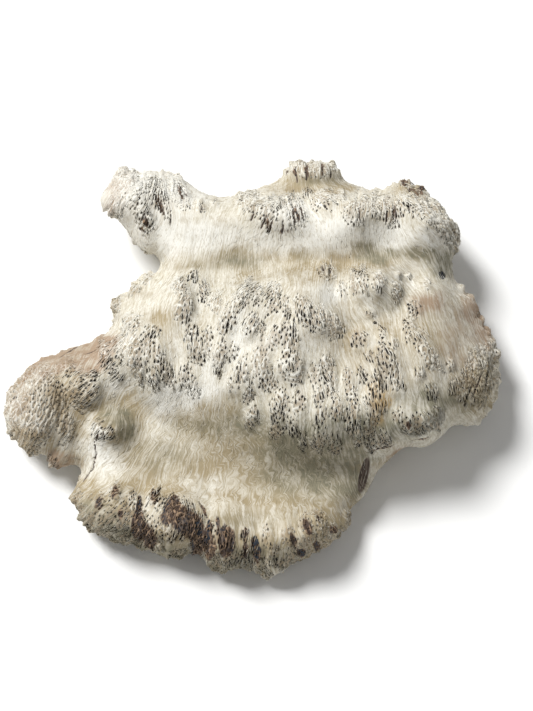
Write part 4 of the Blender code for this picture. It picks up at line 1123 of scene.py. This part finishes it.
# %% The finish of the grown face
def make_weathered_burl():
    material, shader = start_finish("weathered_burl")
    tree = material.node_tree
    pit_mark, cluster_mark, trough_shade_mark = marks_of(tree, "eye_marks")
    side_mark, scar_mark, slit_mark = marks_of(tree, "lie")
    _, white_mark, _ = marks_of(tree, "patches")
    grain_mark = add_node(tree, "ShaderNodeAttribute", attribute_name="grain").outputs["Vector"]
    streaks = place_group(
        tree, wood_streaks, Grain=grain_mark, Place=place_on(tree), Side=side_mark
    )
    hair, band, fuzz, net, blotch = streaks
    tone, bark, stained = place_group(
        tree, weathered_tone, Hair=hair, Band=band, Fuzz=fuzz, Blotch=blotch
    )
    # the pale threads between the eyes, and painted shade in the troughs and inside the net's meshes
    thread = times(ramped(net, 0.12, 0.03), cluster_mark, 0.75, scaled(stained, -0.85, 1.0))
    tone = mix_colour(thread, tone, BLEACHED)
    hollow = number("MAXIMUM", trough_shade_mark, ramped(net, 0.10, 0.22))
    shade = times(hollow, cluster_mark, 0.65, scaled(white_mark, -0.85, 1.0))
    tone = mix_colour(shade, tone, TROUGH_SHADE)
    # the bark that is left, brown on its ridges and nearly black between them
    deep = number("MAXIMUM", ramped(net, 0.07, 0.14), ramped(fuzz, 0.50, 0.40))
    bark_tone = mix_colour(deep, BARK_RIDGE, BARK)
    bark_tone = mix_colour(times(ramped(blotch, 0.46, 0.58), 0.7), bark_tone, BLUE_BARK)
    bark_edge = plus(bark, scaled(hair, 1.2, -0.6))
    tone = mix_colour(ramped(bark_edge, 0.35, 0.6), tone, bark_tone)
    # the slits, dark brown inside, partly their own colour and partly painted shade; the scars; and the
    # eyes, whose dark is partly their own colour and partly painted shade in the pits
    slit_tone = mix_colour(ramped(hair, 0.44, 0.60), BARK, SLIT_BROWN)
    tone = mix_colour(ramped(slit_mark, 0.20, 0.80), tone, slit_tone)
    scar_tone = mix_colour(ramped(fuzz, 0.28, 0.42), BARK, BLUE_BARK)
    tone = mix_colour(ramped(scar_mark, 0.15, 0.60), tone, scar_tone)
    eye_tone = mix_colour(times(white_mark, 0.65), EYE_DARK_AND_SHADE, SLIT_BROWN)
    tone = mix_colour(ramped(pit_mark, 0.22, 0.42), tone, eye_tone)
    feed(shader.inputs["Base Color"], tone)
    feed(shader.inputs["Roughness"], scaled(hair, 0.25, 0.68))
    height = plus(hair, times(band, 1.2), fuzz)
    height = number("SUBTRACT", height, times(net, cluster_mark, 5.0))
    feed(shader.inputs["Normal"], bumped(height, 0.8, 0.0003))
    return material


weathered_burl = make_weathered_burl()
print("grown face:", len(weathered_burl.node_tree.nodes), "nodes")

# %% [markdown]
# ## The walls and the loose fibres
# A spindle is thinner than any streak, so it has one tone of its own, drawn when it was made, in the
# place of hairs and fuzz. Only fine specks and the blotches change along it. Where bark is left, the
# spindles are brown too.

# %% The finish of the walls and fibres
SPECK_SIZE = (0.002, 0.002, 0.002)


def make_fibre_finish():
    material, shader = start_finish("bleached_fibre")
    tree = material.node_tree
    _, _, own_tone = marks_of(tree, "eye_marks")
    place = place_on(tree)
    speck = stretched_noise(place, SPECK_SIZE)
    blotch = stretched_noise(place, BLOTCH_SIZE, BLOTCH_DETAIL)
    tone, bark, _ = place_group(
        tree, weathered_tone, Hair=own_tone, Band=speck, Fuzz=own_tone, Blotch=blotch
    )
    bark_tone = mix_colour(times(ramped(own_tone, 0.0, 1.0), 0.7), BARK_RIDGE, BARK)
    tone = mix_colour(ramped(bark, 0.25, 0.55), tone, bark_tone)
    feed(shader.inputs["Base Color"], tone)
    feed(shader.inputs["Roughness"], scaled(speck, 0.3, 0.6))
    return material


bleached_fibre = make_fibre_finish()
print("walls and fibres:", len(bleached_fibre.node_tree.nodes), "nodes")

# %% [markdown]
# ## The sawn base
# A saw cuts the burl's figure open: swirls like those of marble, rosy flames, and small dark knots in
# groups, where the buds grew. The swirls are rings drawn through a slow noise, as contour lines are
# drawn on a map, and the knots are the middles of small cells. Fine bumps are the marks of the saw.

# %% The finish of the sawn base
RINGS = 120.0
KNOTS_IN_A_METRE = 210.0


def make_sawn_burl():
    material, shader = start_finish("sawn_burl")
    place = place_on(material.node_tree)
    swirl = stretched_noise(place, (0.060, 0.045, 0.060), detail=1.5, roughness=0.45)
    rings = number("SINE", times(swirl, RINGS))
    tone = mix_colour(times(ramped(rings, -0.9, 1.0), 0.75), SAWN_PALE, TAN)
    flame = ramped(stretched_noise(place, (0.030, 0.030, 0.030), detail=4.0), 0.48, 0.66)
    tone = mix_colour(times(flame, 0.6), tone, ROSY)
    cells = add_node(material.node_tree, "ShaderNodeTexVoronoi")
    feed(cells.inputs["Scale"], KNOTS_IN_A_METRE)
    feed(cells.inputs["Vector"], place)
    in_group = ramped(stretched_noise(place, (0.025, 0.025, 0.025)), 0.48, 0.58)
    knot = times(ramped(cells.outputs["Distance"], 0.34, 0.20), in_group)
    tone = mix_colour(knot, tone, BARK)
    feed(shader.inputs["Base Color"], tone)
    feed(shader.inputs["Roughness"], scaled(swirl, 0.2, 0.6))
    saw_marks = stretched_noise(place, (0.2, 0.0016, 0.2), detail=1.0)
    feed(shader.inputs["Normal"], bumped(saw_marks, 0.4, 0.0004))
    return material


sawn_burl = make_sawn_burl()
print("sawn base:", len(sawn_burl.node_tree.nodes), "nodes")

# %% [markdown]
# ## Put the pieces together
# The skin wears two finishes: its smooth faces are grown, its flat ones are sawn. All pieces are one
# wood, so they ride on the blank's one body, and the skin takes the place of the blank as built.

# %% Finish every piece and hang it on the blank
GROWN_SLOT = 0
SAWN_SLOT = 1
wood.data.materials.clear()
wood.data.materials.append(weathered_burl)
wood.data.materials.append(sawn_burl)
for face in wood.data.polygons:
    face.material_index = GROWN_SLOT if face.use_smooth else SAWN_SLOT
for piece in (*wall_pieces, loose_fibres):
    piece.data.materials.append(bleached_fibre)
pieces = (wood, *wall_pieces, loose_fibres)
for piece in pieces:
    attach(piece, "root")
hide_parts("burl_blank")
print("pieces:", ", ".join(piece.name for piece in pieces))

# %% [markdown]
# ## Floor and light
# The blank lies on a pale floor. One soft lamp, high at the left and a little behind, draws the relief,
# and a bright even room fills the shadows. A room lit as white as it looks would wash the relief out,
# so what the lens sees of the room is brighter than what lights the wood.

# %% Floor and lights
FLOOR_SIZE = 40.0
FLOOR_GAP = 0.0005
FLOOR_TONE = (0.9, 0.9, 0.89, 1)
FLOOR_ROUGHNESS = 0.9
LAMP_ENERGY = 3.5
LAMP_SOFTNESS = math.radians(20)
TO_LAMP = Vector((-0.52, 0.34, 0.92))
ROOM_STRENGTH = 0.31  # how much the room lights the wood
SEEN_STRENGTH = 1.0  # how white the room looks behind it
bpy.ops.mesh.primitive_plane_add(size=FLOOR_SIZE, location=(0, 0, -FLOOR_GAP))
floor = bpy.context.object
floor.name = "floor"
floor_finish, floor_shader = start_finish("pale_floor")
feed(floor_shader.inputs["Base Color"], FLOOR_TONE)
feed(floor_shader.inputs["Roughness"], FLOOR_ROUGHNESS)
floor.data.materials.append(floor_finish)

lamp_data = bpy.data.lights.new("key", "SUN")
lamp_data.energy = LAMP_ENERGY
lamp_data.angle = LAMP_SOFTNESS
lamp = bpy.data.objects.new("key", lamp_data)
lamp.rotation_euler = TO_LAMP.to_track_quat("Z", "Y").to_euler()
bpy.context.scene.collection.objects.link(lamp)
world = bpy.data.worlds.new("studio")
world.use_nodes = True
room = world.node_tree.nodes["Background"]
feed(room.inputs["Color"], (1, 1, 1, 1))
seen = add_node(world.node_tree, "ShaderNodeLightPath").outputs["Is Camera Ray"]
feed(room.inputs["Strength"], scaled(seen, SEEN_STRENGTH - ROOM_STRENGTH, ROOM_STRENGTH))
bpy.context.scene.world = world
bpy.context.scene.view_settings.view_transform = "Standard"
print("lamp:", LAMP_ENERGY, "room:", ROOM_STRENGTH)
